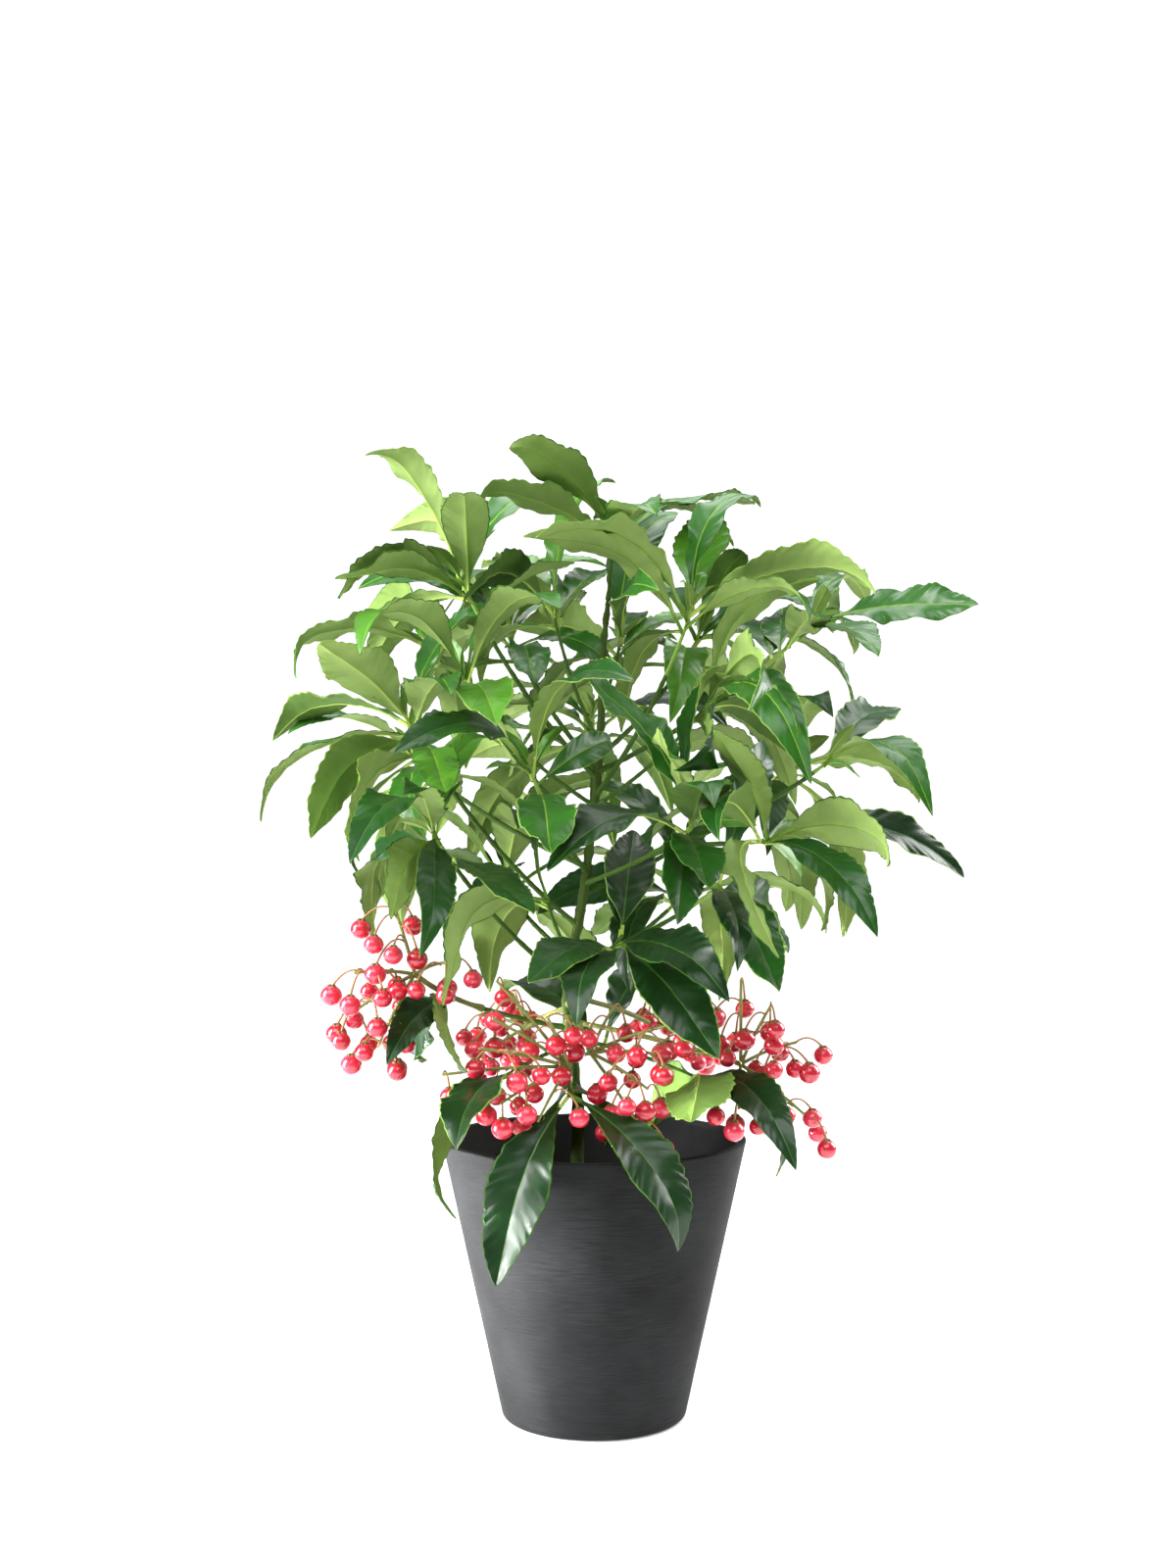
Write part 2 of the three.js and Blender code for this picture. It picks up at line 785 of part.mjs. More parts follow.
function footOf(shoot) {
  if (shoot.on) {
    const { curve, end } = carriers.get(shoot.on);
    return curve.getPoint(shoot.share * end);
  }
  return trunkCurve.getPoint(trunkShareAt(shoot.foot));
}

function carrierOf(shoot) {
  return carriers.get(shoot.on ?? "trunk");
}

function makeBough(shoot) {
  const curve = shootCurve(footOf(shoot), vector(shoot.tip));
  const end = 1 - shoot.stem / curve.getLength();
  const radiusAt = (share) => BOUGH_RADIUS + ((BOUGH_TIP_RADIUS - BOUGH_RADIUS) * share) / end;
  const cutter = limb(curve, 0, end, (share) => radiusAt(share) + GAP, BOUGH_SIDES, BOUGH_STEPS);
  const solid = limb(curve, 0, end, radiusAt, BOUGH_SIDES, BOUGH_STEPS);
  carriers.set(shoot.name, { curve, end, cutter });
  return largestBody(solid.subtract(carrierOf(shoot).cutter));
}

// The leafy stem of a shoot: beyond its bough's tip, or from the trunk where it has no bough.
function makeStem(shoot) {
  const bough = carriers.get(shoot.name);
  const curve = bough ? bough.curve : shootCurve(footOf(shoot), vector(shoot.tip));
  const from = (bough ? bough.end : 0) + GAP / curve.getLength();
  const radiusAt = (share) =>
    BOUGH_TIP_RADIUS + ((STEM_TIP_RADIUS - BOUGH_TIP_RADIUS) * (share - from)) / (1 - from);
  const solid = limb(curve, from, 1, radiusAt, 3, STEM_STEPS);
  const free = bough ? solid : largestBody(solid.subtract(carrierOf(shoot).cutter));
  const spread = LEAF_SPACING * Math.max(shoot.leaves.length, shoot.fill);
  const leafy = Math.min(shoot.spread ?? spread, LEAFY_SHARE * (shoot.stem ?? USUAL_STEM));
  return { curve, solid: free, leafyFrom: 1 - leafy / curve.getLength() };
}

function leafBase(stem, index, count) {
  const share = 1 - ((1 - stem.leafyFrom) * index) / Math.max(1, count);
  return stem.curve.getPoint(Math.min(share, TOP_LEAF_SHARE));
}

function growShown(shoot, stem, blades, random) {
  return shoot.leaves.map(([turn, seen, face, side, bow = USUAL_BOW, twist = 0], index) => {
    const usual = LEAF_LENGTH * drawn(SHOWN_LENGTH, random);
    const base = leafBase(stem, index, shoot.leaves.length);
    const width = LEAF_WIDTH * drawn(SHOWN_WIDTH, random);
    const tiltSign = random() < 0.5 ? -1 : 1;
    const leafAt = (stretch, roll, turnMore, broad) => {
      const wanted = Math.max(usual, seen / FLATTEST) * stretch;
      const tip = shownTip(base, radians(turn) + turnMore, seen, side, wanted);
      const length = tip.distanceTo(base);
      const along = tip.sub(base).normalize();
      const upper = shownUpper(base, along, face, tiltSign).applyAxisAngle(along, roll);
      return { base, along, upper, length, width: width * broad, bow, twist: radians(twist) };
    };
    return growLeaf(shoot.name, blades, leafAt);
  });
}

function growFill(shoot, stem, blades, random) {
  const grown = [];
  const [low, high] = shoot.sector;
  for (let i = 0; i < shoot.fill; i += 1) {
    const around = (i * GOLDEN_ANGLE + HEADING_STRAY * random()) % 360;
    const heading = radians(low + ((high - low) * around) / 360);
    const lower = (RISE_SPAN * i) / Math.max(1, shoot.fill - 1);
    let rise = radians(TOP_RISE - lower + strayed(RISE_STRAY, random));
    const ownRoll = radians(strayed(ROLL_STRAY, random));
    const base = leafBase(stem, i, shoot.fill);
    const usual = LEAF_LENGTH * drawn(FILL_LENGTH, random);
    const width = LEAF_WIDTH * drawn(FILL_WIDTH, random);
    const bow = drawn(FILL_BOW, random);
    const twist = radians(strayed(TWIST_STRAY, random));
    const leafAt = (stretch, roll, turnMore, broad) => {
      const along = headed(heading + 2 * turnMore, rise + turnMore);
      const level = UP.clone().addScaledVector(along, -UP.dot(along)).normalize();
      const upper = level.applyAxisAngle(along, ownRoll + roll);
      return { base, along, upper, length: usual * stretch, width: width * broad, bow, twist };
    };
    const tipAt = () => base.clone().addScaledVector(headed(heading, rise), usual);
    while (rise > -1 && !insideCrown(tipAt())) rise -= radians(RISE_STEP);
    if (insideCrown(tipAt()) && outsidePot(tipAt())) grown.push(growLeaf(shoot.name, blades, leafAt));
  }
  return grown;
}

// The woody part of a spray: its stalk from the trunk or bough to the knot, and its spokes.
function makeStalks(spray) {
  const knot = vector(spray.knot);
  const stalkCurve = shootCurve(footOf(spray), knot);
  const rough = limb(stalkCurve, 0, 1, () => PEDUNCLE_RADIUS, 3, STEM_STEPS);
  const stalk = largestBody(rough.subtract(carrierOf(spray).cutter));
  stand(stalk, spray.name);
  const spokes = spray.spokes.map(([turn, seen, forward, count]) => {
    const way = vector([seen * Math.cos(radians(turn)), -forward, seen * Math.sin(radians(turn))]);
    const line = new THREE.LineCurve3(knot, knot.clone().add(way));
    const solid = limb(line, 0, 1, () => SPOKE_RADIUS, 3, 1);
    stand(solid, spray.name);
    return { line, solid, count };
  });
  return { stalk, spokes };
}

// The berries: from the outer part of each spoke thin stalks rise, droop and end in a berry.
function makeSpray(spray, { stalk, spokes }) {
  const random = seeded(spray.seed);
  const pieces = [stalk];
  const berries = [];
  spokes.forEach(({ line, solid, count }) => {
    pieces.push(solid);
    for (let i = 0; i < count; i += 1) {
      const root = line.getPoint(1 - (SPOKE_BARE * i) / count);
      const heading = radians(i * GOLDEN_ANGLE + PEDICEL_STRAY * random());
      const reach = PEDICEL_LENGTH * drawn(PEDICEL_REACH, random);
      const radius = BERRY_RADIUS * drawn(BERRY_SIZE, random);
      const drop = drawn(BERRY_DROP, random);
      const hang = root.clone().add(vector([reach * Math.cos(heading), reach * Math.sin(heading), -drop]));
      const knee = root.clone().lerp(hang, 0.5).addScaledVector(UP, PEDICEL_RISE + drop / 2);
      const bend = new THREE.QuadraticBezierCurve3(root, knee, hang);
      const pedicel = limb(bend, 0, 1, () => PEDICEL_RADIUS, 3, 2);
      const centre = hang.clone().addScaledVector(UP, -radius * BERRY_SUNK);
      const ball = solidOf(new THREE.IcosahedronGeometry(radius, 0)).translate(centre.toArray());
      const apart = berries.every((other) => other.centre.distanceTo(centre) > other.radius + radius);
      if (apart && isClear(ball, spray.name) && isClear(pedicel, spray.name)) {
        berries.push({ centre, radius });
        pieces.push(pedicel, ball);
        stand(ball, spray.name);
        stand(pedicel, spray.name);
      }
    }
  });
  return largestBody(wasm.Manifold.union(pieces).simplify(TIDY));
}

// The assembly
const plant = new THREE.Group();

function place(name, solid, finish) {
  const material = new THREE.MeshStandardMaterial({ ...finish, metalness: 0 });
  const mesh = new THREE.Mesh(geometryOf(solid), material);
  mesh.name = name;
  plant.add(mesh);
}

const pot = makePot();
const soil = makeSoil();
const trunk = makeTrunk(0);
carriers.set("trunk", { curve: trunkCurve, cutter: makeTrunk(GAP) });
place("pot", pot, FINISHES.pot);
place("soil", soil, FINISHES.soil);
place("trunk", trunk, FINISHES.trunk);
stand(pot, "pot");
stand(soil, "soil");
stand(trunk, "trunk");

SHOOTS.filter((shoot) => shoot.stem).forEach((shoot) => {
  const bough = makeBough(shoot);
  const name = "bough_" + shoot.name;
  stand(bough, name);
  place(name, bough, FINISHES.bough);
});

const stems = new Map(SHOOTS.map((shoot) => [shoot.name, makeStem(shoot)]));
stems.forEach((stem, name) => stand(stem.solid, name));

const stalks = new Map(SPRAYS.map((spray) => [spray.name, makeStalks(spray)]));

const grown = new Map(
  SHOOTS.map((shoot) => {
    const blades = [];
    const random = seeded(shoot.seed);
    return [shoot.name, { blades, random, leaves: growShown(shoot, stems.get(shoot.name), blades, random) }];
  }),
);

SPRAYS.forEach((spray) => {
  place(spray.name, makeSpray(spray, stalks.get(spray.name)), FINISHES.fruit);
});

SHOOTS.forEach((shoot) => {
  const { blades, random, leaves } = grown.get(shoot.name);
  const stem = stems.get(shoot.name);
  const all = [...leaves, ...growFill(shoot, stem, blades, random)].filter((leaf) => leaf);
  const mass = largestBody(wasm.Manifold.union([stem.solid, ...all]).simplify(TIDY));
  place("leaves_" + shoot.name, mass, FINISHES.leaf);
});

export default plant;
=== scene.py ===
# A coralberry shrub, Ardisia crenata, in a plain tapered pot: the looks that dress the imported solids.
# Lengths are millimetres until a mesh is made, and metres from there on. The front faces -Y.
import math

import bpy
import numpy as np
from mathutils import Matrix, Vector


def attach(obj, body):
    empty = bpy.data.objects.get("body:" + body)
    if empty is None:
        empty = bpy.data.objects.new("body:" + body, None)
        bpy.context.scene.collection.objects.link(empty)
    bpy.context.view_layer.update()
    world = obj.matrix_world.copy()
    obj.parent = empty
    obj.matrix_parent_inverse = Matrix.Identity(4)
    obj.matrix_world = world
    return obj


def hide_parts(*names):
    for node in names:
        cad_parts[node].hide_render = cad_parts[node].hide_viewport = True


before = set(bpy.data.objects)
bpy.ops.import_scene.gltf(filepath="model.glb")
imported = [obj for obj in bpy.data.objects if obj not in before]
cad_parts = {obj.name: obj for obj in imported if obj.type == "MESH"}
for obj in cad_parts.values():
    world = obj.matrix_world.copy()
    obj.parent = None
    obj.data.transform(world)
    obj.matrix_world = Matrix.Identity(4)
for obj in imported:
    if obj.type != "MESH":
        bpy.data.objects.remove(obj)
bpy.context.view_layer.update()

MM = 0.001
TINY = 1e-12
SAME_PLACE = 1e-4
UP = np.array([0.0, 0.0, 1.0])
TURN = 2 * np.pi

# Pot and soil
POT_HEIGHT = 137
RIM_RADIUS = 75
BASE_RADIUS = 45
BASE_ROUND = 4
WALL = 4
FLOOR_THICKNESS = 6
LIP_ROUND = 1
LIP_INSET = 1.15
FOOT_WIDER = 0.6
FOOT_ANGLE = -85
UNDERSIDE_RINGS = [20, 34]
OUTER_RINGS = 34
INNER_RINGS = 30
POT_SIDES = 192
CORNER_STEPS = 7
SOIL_TOP = 107

GAP = 0.3

# Trunk: where it bends, [x, z] at the pot's middle plane, and its radii from foot to tip
TRUNK_FOOT = SOIL_TOP + GAP
TRUNK_BENDS = [
    [-9, TRUNK_FOOT - 4],
    [-8, 147],
    [-13, 206],
    [-4.5, 262],
    [2, 318],
    [5, 382],
    [7, 402],
]
FLARE_RADIUS = 5.4
FLARE_HEIGHT = 9
TRUNK_RADIUS = 3.3
TRUNK_TIP_RADIUS = 1.3

# Boughs, and the stems that carry leaves
BOUGH_RADIUS = 1.6
BOUGH_TIP_RADIUS = 1.3
STEM_TIP_RADIUS = 0.9
BOUGH_OUT = 0.6
BOUGH_UP = 0.4
LEAFY_SHARE = 0.8
LEAF_SPACING = 3
USUAL_STEM = 24

# Leaves
LEAF_LENGTH = 92
LEAF_WIDTH = 27
PETIOLE_SHARE = 0.08
LEAF_STATIONS = [0, 0.3, 0.68]
LEAF_FOLD = 0.1
USUAL_BOW = 0.16
FLATTEST = 0.97

# Ways a leaf may give way to what stands near it: its length as a share, its roll, its turn and its
# width as a share
NUDGES = [
    [1, 0, 0, 1], [1.06, 0, 0, 1], [0.95, 0, 0, 1], [1, 14, 0, 1],
    [1, -14, 0, 1], [1.12, 0, 0, 1], [1.06, 14, 3, 1], [1.06, -14, -3, 1],
    [0.95, 25, 6, 0.9], [0.95, -25, -6, 0.9], [1.12, 25, -6, 0.9], [1.12, -25, 6, 0.9],
    [1, 40, 9, 0.85], [1, -40, -9, 0.85], [0.85, 15, 4, 0.75], [0.85, -15, -4, 0.75],
    [0.8, 30, -10, 0.7], [0.8, -30, 10, 0.7],
]

# The place from which the front view is seen
EYE = np.array([-3.0, -1035.0, 311.0])

# The egg-shaped room that the crown keeps to
CROWN_MIDDLE = np.array([4.0, 0.0, 315.0])
CROWN_REACH = np.array([172.0, 158.0, 164.0])
RISE_STEP = 14

# Berries
BERRY_RADIUS = 4.7
BERRY_SWOLLEN = 1.02
BERRY_HEIGHT = 0.95
BERRY_TOP = 0.93
BERRY_DIMPLE = 0.9
PEDUNCLE_RADIUS = 1.3
SPOKE_RADIUS = 0.9
PEDICEL_LENGTH = 17
PEDICEL_RISE = 5
SPOKE_BARE = 0.5
BERRY_SUNK = 0.8

GOLDEN_ANGLE = 137.5

# The seeded generator's numbers
SEED_STEP = 7919
MULTIPLIER = 1664525
INCREMENT = 1013904223
STATES = 2 ** 32

# What the seeded rule draws: a least value and how much more it may be, or how many degrees it strays by
SHOWN_LENGTH = [0.92, 0.1]
SHOWN_WIDTH = [0.9, 0.2]
FILL_LENGTH = [0.84, 0.16]
FILL_WIDTH = [0.86, 0.2]
FILL_BOW = [0.14, 0.12]
HEADING_STRAY = 40
RISE_STRAY = 16
ROLL_STRAY = 50
TWIST_STRAY = 60
TOP_RISE = 50
RISE_SPAN = 85
PEDICEL_REACH = [0.55, 0.45]
PEDICEL_STRAY = 90
BERRY_SIZE = [0.9, 0.2]
BERRY_DROP = [3, 9]

# The rule's own limits
SHARE_STEP = 0.002
TOP_LEAF_SHARE = 0.995
LEVEL_ENOUGH = 0.2
BLADE_PEAK = 0.9
BLADE_TAPER = 1.1
BOW_TO_UPPER = 0.5

# How near a point of a solid has to be for a leaf's tip, its edges and a berry to be found there
TIP_FOUND = 0.6
EDGE_FOUND = 0.4
BERRY_FOUND = 0.05
BERRY_POINTS = 5

# Steps in which a curve's length is measured
LENGTH_STEPS = 200

# Each shoot is a bough that rises from the trunk at height foot, or from another bough at a share of
# that bough's length, and ends as a leafy stem whose tip is at [x, y, z]. Without a bough the leafy
# stem runs all the way. Each leaf is given as the front view shows it, from the tip of the stem down:
# [turn in degrees from +X, length seen, share of the width seen (minus: its underside),
#  1 where it comes forward or -1 where it goes back, bow as a share of its length, twist in degrees].
# fill is how many more leaves the seeded rule grows round the stem, towards the sector of headings.
REAR = [35, 145]
ALL_ROUND = [0, 360]
USUAL_SHOOT = dict(leaves=[], fill=0, sector=REAR)
SHOOTS = [
    dict(name="top", seed=3, foot=402, tip=[9, -5, 433], fill=3, leaves=[
        [138, 72, -0.8, 1, 0.12, 30], [160, 80, -0.5, 1, 0.1], [14, 72, 0.3, -1, 0.2, -40],
        [52, 34, -0.6, 1, 0.1],
    ]),
    dict(name="upper_left", seed=1, foot=313, tip=[-65, -15, 411], stem=34, fill=3, leaves=[
        [122, 84, -0.2, 1, 0.1, 60], [186, 62, -0.7, 1, 0.18], [133, 44, -0.4, -1, 0.2],
        [93, 58, -1, 1, 0.08], [174, 62, -0.6, 1, 0.16],
    ]),
    dict(name="upper_middle", seed=6, foot=305, tip=[47, -30, 395], stem=34, fill=3, leaves=[
        [80, 47, 0.95, -1, 0.05], [11, 96, -0.6, 1, 0.15], [151, 83, -0.75, 1, 0.28],
        [13, 68, -0.5, 1, 0.15], [150, 86, -0.7, 1, 0.25],
    ]),
    dict(name="upper_right", seed=8, foot=317, tip=[108, 0, 391], stem=48, spread=34, fill=2,
         sector=[70, 140], leaves=[
        [5, 84, 0.6, 1, 0.06, 40], [30, 36, 0.4, -1, 0.2], [350, 40, 0.2, 1, 0.1],
        [356, 34, 0.4, -1, 0.2], [47, 26, -0.9, 1, 0.05], [85, 22, 0.9, -1, 0.05],
        [110, 24, 0.95, -1, 0.05],
    ]),
    dict(name="left_front", seed=6, foot=285, tip=[-62, -35, 362], stem=22, fill=1, leaves=[
        [160, 59, -0.5, 1, 0.26], [42, 61, -0.6, 1, 0.22], [305, 22, 0.9, 1, 0.1],
        [292, 44, 0.5, -1, 0.1],
    ]),
    dict(name="left", seed=6, foot=241, tip=[-90, -22, 342], stem=28, fill=1, leaves=[
        [140, 55, -0.9, 1, 0.06], [180, 66, -0.15, -1, 0.14, 30], [52, 31, -0.9, 1, 0.1],
        [204, 91, 0.14, 1, 0.17, 35], [223, 68, -0.85, 1, 0.18], [292, 30, 0.95, 1, 0.1],
        [218, 45, -0.5, -1, 0.2], [232, 65, -0.4, 1, 0.2],
    ]),
    dict(name="middle_right", seed=8, foot=262, tip=[47, -55, 292], stem=18, fill=1, leaves=[
        [128, 87, 0.6, -1, 0.12], [116, 46, -0.3, 1, 0.1], [69, 28, -0.9, 1, 0.05],
        [16, 36, 0.8, -1, 0.08], [197, 67, 0.5, 1, 0.2], [266, 43, 0.9, 1, 0.1], [294, 30, 0.8, 1, 0.1],
    ]),
    dict(name="right", seed=9, on="middle_right", share=0.72, tip=[115, -5, 322], stem=12, leaves=[
        [33, 40, 0.8, -1, 0.14], [343, 56, 0.25, 1, 0.22, 30],
    ]),
    dict(name="right_low", seed=10, on="middle_right", share=0.9, tip=[83, -45, 284], stem=14, leaves=[
        [118, 54, -0.4, 1, 0.08, 70], [353, 66, -0.8, 1, 0.14], [350, 96, 0.5, -1, 0.18, 40],
        [323, 69, 0.8, 1, 0.15], [165, 26, -0.7, 1, 0.2], [340, 34, 0.7, -1, 0.1],
        [281, 56, -0.5, 1, 0.28], [312, 56, 0.3, -1, 0.2],
    ]),
    dict(name="middle_left", seed=11, foot=268, tip=[-30, -50, 317], stem=24, leaves=[
        [174, 65, 0.5, 1, 0.22], [45, 66, -0.3, 1, 0.3, 30], [155, 30, -0.6, -1, 0.15],
        [39, 48, 0.85, -1, 0.08], [156, 36, -0.6, -1, 0.2], [278, 33, 0.9, 1, 0.1],
    ]),
    dict(name="left_low", seed=12, foot=213, tip=[-77, -35, 288], stem=20, fill=1, leaves=[
        [269, 53, 0.9, 1, 0.08], [111, 30, -0.8, 1, 0.05], [241, 42, -0.85, 1, 0.1],
        [192, 44, 0.3, 1, 0.3], [232, 54, 0.2, -1, 0.3, 30], [346, 60, -0.35, -1, 0.15],
        [325, 50, 0.5, 1, 0.05],
    ]),
    dict(name="right_lower", seed=8, foot=222, tip=[60, -30, 262], stem=18, fill=2, leaves=[
        [298, 60, 0.9, 1, 0.1], [294, 34, 0.8, 1, 0.1], [320, 45, 0.6, -1, 0.15],
    ]),
    dict(name="low_left", seed=14, foot=190, tip=[-73, -4, 207], stem=14, fill=1, leaves=[
        [270, 40, 0.4, 1, 0.1], [240, 40, 0.8, -1, 0.1], [213, 46, 0.5, 1, 0.15],
    ]),
    dict(name="left_rear", seed=8, foot=300, tip=[-82, 15, 380], fill=2, leaves=[
        [184, 80, -0.3, 1, 0.15, 30], [150, 35, -0.5, -1, 0.2], [20, 40, -0.5, -1, 0.2],
    ]),
    dict(name="top_rear", seed=7, foot=350, tip=[13, 22, 381], fill=3, leaves=[
        [75, 35, -0.6, 1, 0.1], [119, 36, -0.9, 1, 0.1], [163, 50, -0.8, -1, 0.1],
        [30, 40, 0.5, -1, 0.1],
    ]),
    dict(name="top_left", seed=1, foot=330, tip=[-20, 15, 395], fill=3, leaves=[
        [172, 42, -0.8, 1, 0.25], [145, 45, 0.5, -1, 0.2], [40, 42, 0.5, -1, 0.15],
    ]),
    dict(name="inner_right", seed=5, foot=300, tip=[56, -25, 352], fill=1, leaves=[
        [350, 26, -0.8, 1, 0.3], [351, 52, -0.4, 1, 0.12], [334, 61, 0.5, 1, 0.3],
        [341, 50, -0.7, -1, 0.2], [319, 64, -0.8, -1, 0.3], [296, 26, -0.7, 1, 0.1],
    ]),
    dict(name="front_low", seed=19, foot=211, tip=[13, -40, 239], leaves=[
        [86, 50, 0.95, -1, 0.05], [71, 32, 0.85, -1, 0.1], [310, 75, 0.95, 1, 0.1],
        [340, 56, 0.8, 1, 0.12], [205, 44, 0.7, 1, 0.12], [235, 30, 0.8, 1, 0.1],
    ]),
    dict(name="inner_left", seed=7, foot=225, tip=[-23, -12, 254], fill=2, leaves=[
        [228, 67, -0.6, 1, 0.28], [231, 50, -0.7, -1, 0.25],
    ]),
    dict(name="rim_front", seed=21, foot=178, tip=[-12, -60, 166], leaves=[
        [250, 92, 0.95, 1, 0.16], [310, 91, 0.8, 1, 0.12], [306, 30, -0.8, -1, 0.1],
        [266, 34, -0.8, -1, 0.1],
    ]),
    dict(name="rim_left", seed=22, foot=182, tip=[-42, -34, 172], leaves=[
        [224, 40, 0.9, 1, 0.1], [241, 80, -0.35, 1, 0.14], [272, 26, 0.5, 1, 0.1],
    ]),
    dict(name="rim_right", seed=23, foot=186, tip=[55, -14, 166], leaves=[
        [216, 30, -0.95, -1, 0.1], [309, 62, 0.35, 1, 0.2], [262, 22, -0.9, 1, 0.1],
        [319, 69, 0.35, 1, 0.25],
    ]),
    dict(name="back_upper_left", seed=3, foot=318, tip=[-45, 55, 392], stem=30, fill=10, sector=ALL_ROUND),
    dict(name="back_upper_right", seed=1, foot=324, tip=[55, 58, 388], stem=30, fill=10, sector=ALL_ROUND),
    dict(name="back_left", seed=5, foot=270, tip=[-95, 60, 325], stem=26, fill=10, sector=ALL_ROUND),
    dict(name="back_middle", seed=34, foot=285, tip=[0, 88, 345], stem=26, fill=10, sector=ALL_ROUND),
    dict(name="back_right", seed=2, foot=256, tip=[100, 62, 318], stem=26, fill=10, sector=ALL_ROUND),
    dict(name="back_low_left", seed=1, foot=225, tip=[-48, 72, 258], stem=22, fill=9, sector=ALL_ROUND),
    dict(name="back_low_right", seed=37, foot=215, tip=[49, 73, 254], stem=22, fill=9, sector=ALL_ROUND),
    dict(name="rim_back", seed=38, foot=176, tip=[4, 52, 172], fill=6, sector=[20, 160]),
]
SHOOTS = [dict(USUAL_SHOOT, **shoot) for shoot in SHOOTS]

# Each spray of fruit hangs from a stalk that leaves the trunk or a bough and parts at a knot into
# spokes: [turn in degrees from +X, length seen, how far it comes forward, berries on it].
SPRAYS = [
    dict(name="fruit_left", seed=51, on="low_left", share=0.85, knot=[-85, -42, 221], spokes=[
        [178, 28, 4, 3], [212, 36, 4, 3], [243, 38, 2, 3], [108, 34, -4, 3], [20, 18, 4, 2],
    ]),
    dict(name="fruit_middle_left", seed=52, foot=196, knot=[-12, -56, 179], spokes=[
        [182, 58, 12, 3], [165, 42, 20, 3], [146, 42, 10, 3], [205, 34, 18, 3], [112, 26, 10, 2],
        [238, 26, 20, 2], [130, 52, 0, 2],
    ]),
    dict(name="fruit_middle_right", seed=53, foot=203, knot=[-2, -44, 184], spokes=[
        [22, 38, 14, 3], [4, 30, 20, 3], [332, 30, 20, 3], [305, 40, 16, 2], [62, 24, -4, 2],
    ]),
    dict(name="fruit_right", seed=54, foot=194, knot=[70, -32, 177], spokes=[
        [64, 32, 6, 3], [90, 40, 2, 2], [24, 28, 8, 3], [322, 42, 10, 3], [262, 18, 22, 2],
    ]),
    dict(name="fruit_rear_left", seed=55, foot=200, knot=[-34, 40, 186], spokes=[
        [170, 26, -18, 3], [120, 18, -26, 3], [215, 22, -14, 3],
    ]),
    dict(name="fruit_rear_right", seed=56, foot=206, knot=[30, 38, 188], spokes=[
        [20, 26, -20, 3], [75, 20, -24, 3], [335, 24, -12, 3],
    ]),
]


# The rule by which the plant grows, as in its source
def seeded(seed):
    state = [(seed * SEED_STEP) % STATES]

    def draw():
        state[0] = (state[0] * MULTIPLIER + INCREMENT) % STATES
        return state[0] / STATES

    return draw


def drawn(bounds, random):
    least, more = bounds
    return least + more * random()


def strayed(degrees, random):
    return degrees * (random() - 0.5)


def unit(v):
    return v / max(np.linalg.norm(v), TINY)


def about(v, axis, angle):
    """v turned about a unit axis."""
    c, s = math.cos(angle), math.sin(angle)
    return v * c + np.cross(axis, v) * s + axis * (axis @ v) * (1 - c)


class Bend:
    """A quadratic curve from a foot by a knee to a tip."""

    def __init__(self, foot, knee, tip):
        self.foot, self.knee, self.tip = foot, knee, tip

    def point(self, t):
        return self.foot * (1 - t) ** 2 + self.knee * 2 * t * (1 - t) + self.tip * t * t

    def length(self):
        points = np.array([self.point(i / LENGTH_STEPS) for i in range(LENGTH_STEPS + 1)])
        return float(np.linalg.norm(np.diff(points, axis=0), axis=1).sum())


class Through:
    """A centripetal curve through all its points."""

    def __init__(self, points):
        self.points = points

    def point(self, t):
        p, last = self.points, len(self.points) - 1
        place = last * t
        i = int(math.floor(place))
        w = place - i
        if i >= last:
            i, w = last - 1, 1.0
        before = p[i - 1] if i > 0 else 2 * p[0] - p[1]
        after = p[i + 2] if i + 2 <= last else 2 * p[last] - p[last - 1]
        four = [before, p[i], p[i + 1], after]
        d = [float((b - a) @ (b - a)) ** 0.25 for a, b in zip(four, four[1:])]
        d[1] = 1.0 if d[1] < SAME_PLACE else d[1]
        d[0] = d[1] if d[0] < SAME_PLACE else d[0]
        d[2] = d[1] if d[2] < SAME_PLACE else d[2]
        x0, x1, x2, x3 = four
        t1 = ((x1 - x0) / d[0] - (x2 - x0) / (d[0] + d[1]) + (x2 - x1) / d[1]) * d[1]
        t2 = ((x2 - x1) / d[1] - (x3 - x1) / (d[1] + d[2]) + (x3 - x2) / d[2]) * d[1]
        c2 = -3 * x1 + 3 * x2 - 2 * t1 - t2
        c3 = 2 * x1 - 2 * x2 + t1 + t2
        return x1 + t1 * w + c2 * w * w + c3 * w ** 3


trunk_curve = Through([np.array([x, 0.0, z]) for x, z in TRUNK_BENDS])


def trunk_radius(share):
    height = trunk_curve.point(share)[2] - TRUNK_FOOT
    flare = (FLARE_RADIUS - TRUNK_RADIUS) * max(0, 1 - height / FLARE_HEIGHT) ** 2
    return TRUNK_RADIUS + (TRUNK_TIP_RADIUS - TRUNK_RADIUS) * share + flare


def trunk_share_at(height):
    share = 0
    while share < 1 and trunk_curve.point(share)[2] < height:
        share += SHARE_STEP
    return min(share, 1)


def shoot_curve(foot, tip):
    knee = np.array(
        [
            foot[0] + (tip[0] - foot[0]) * BOUGH_OUT,
            foot[1] + (tip[1] - foot[1]) * BOUGH_OUT,
            foot[2] + (tip[2] - foot[2]) * BOUGH_UP,
        ]
    )
    return Bend(foot, knee, tip)


boughs = {}


def foot_of(shoot):
    if "on" in shoot:
        curve, end = boughs[shoot["on"]]
        return curve.point(shoot["share"] * end)
    return trunk_curve.point(trunk_share_at(shoot["foot"]))


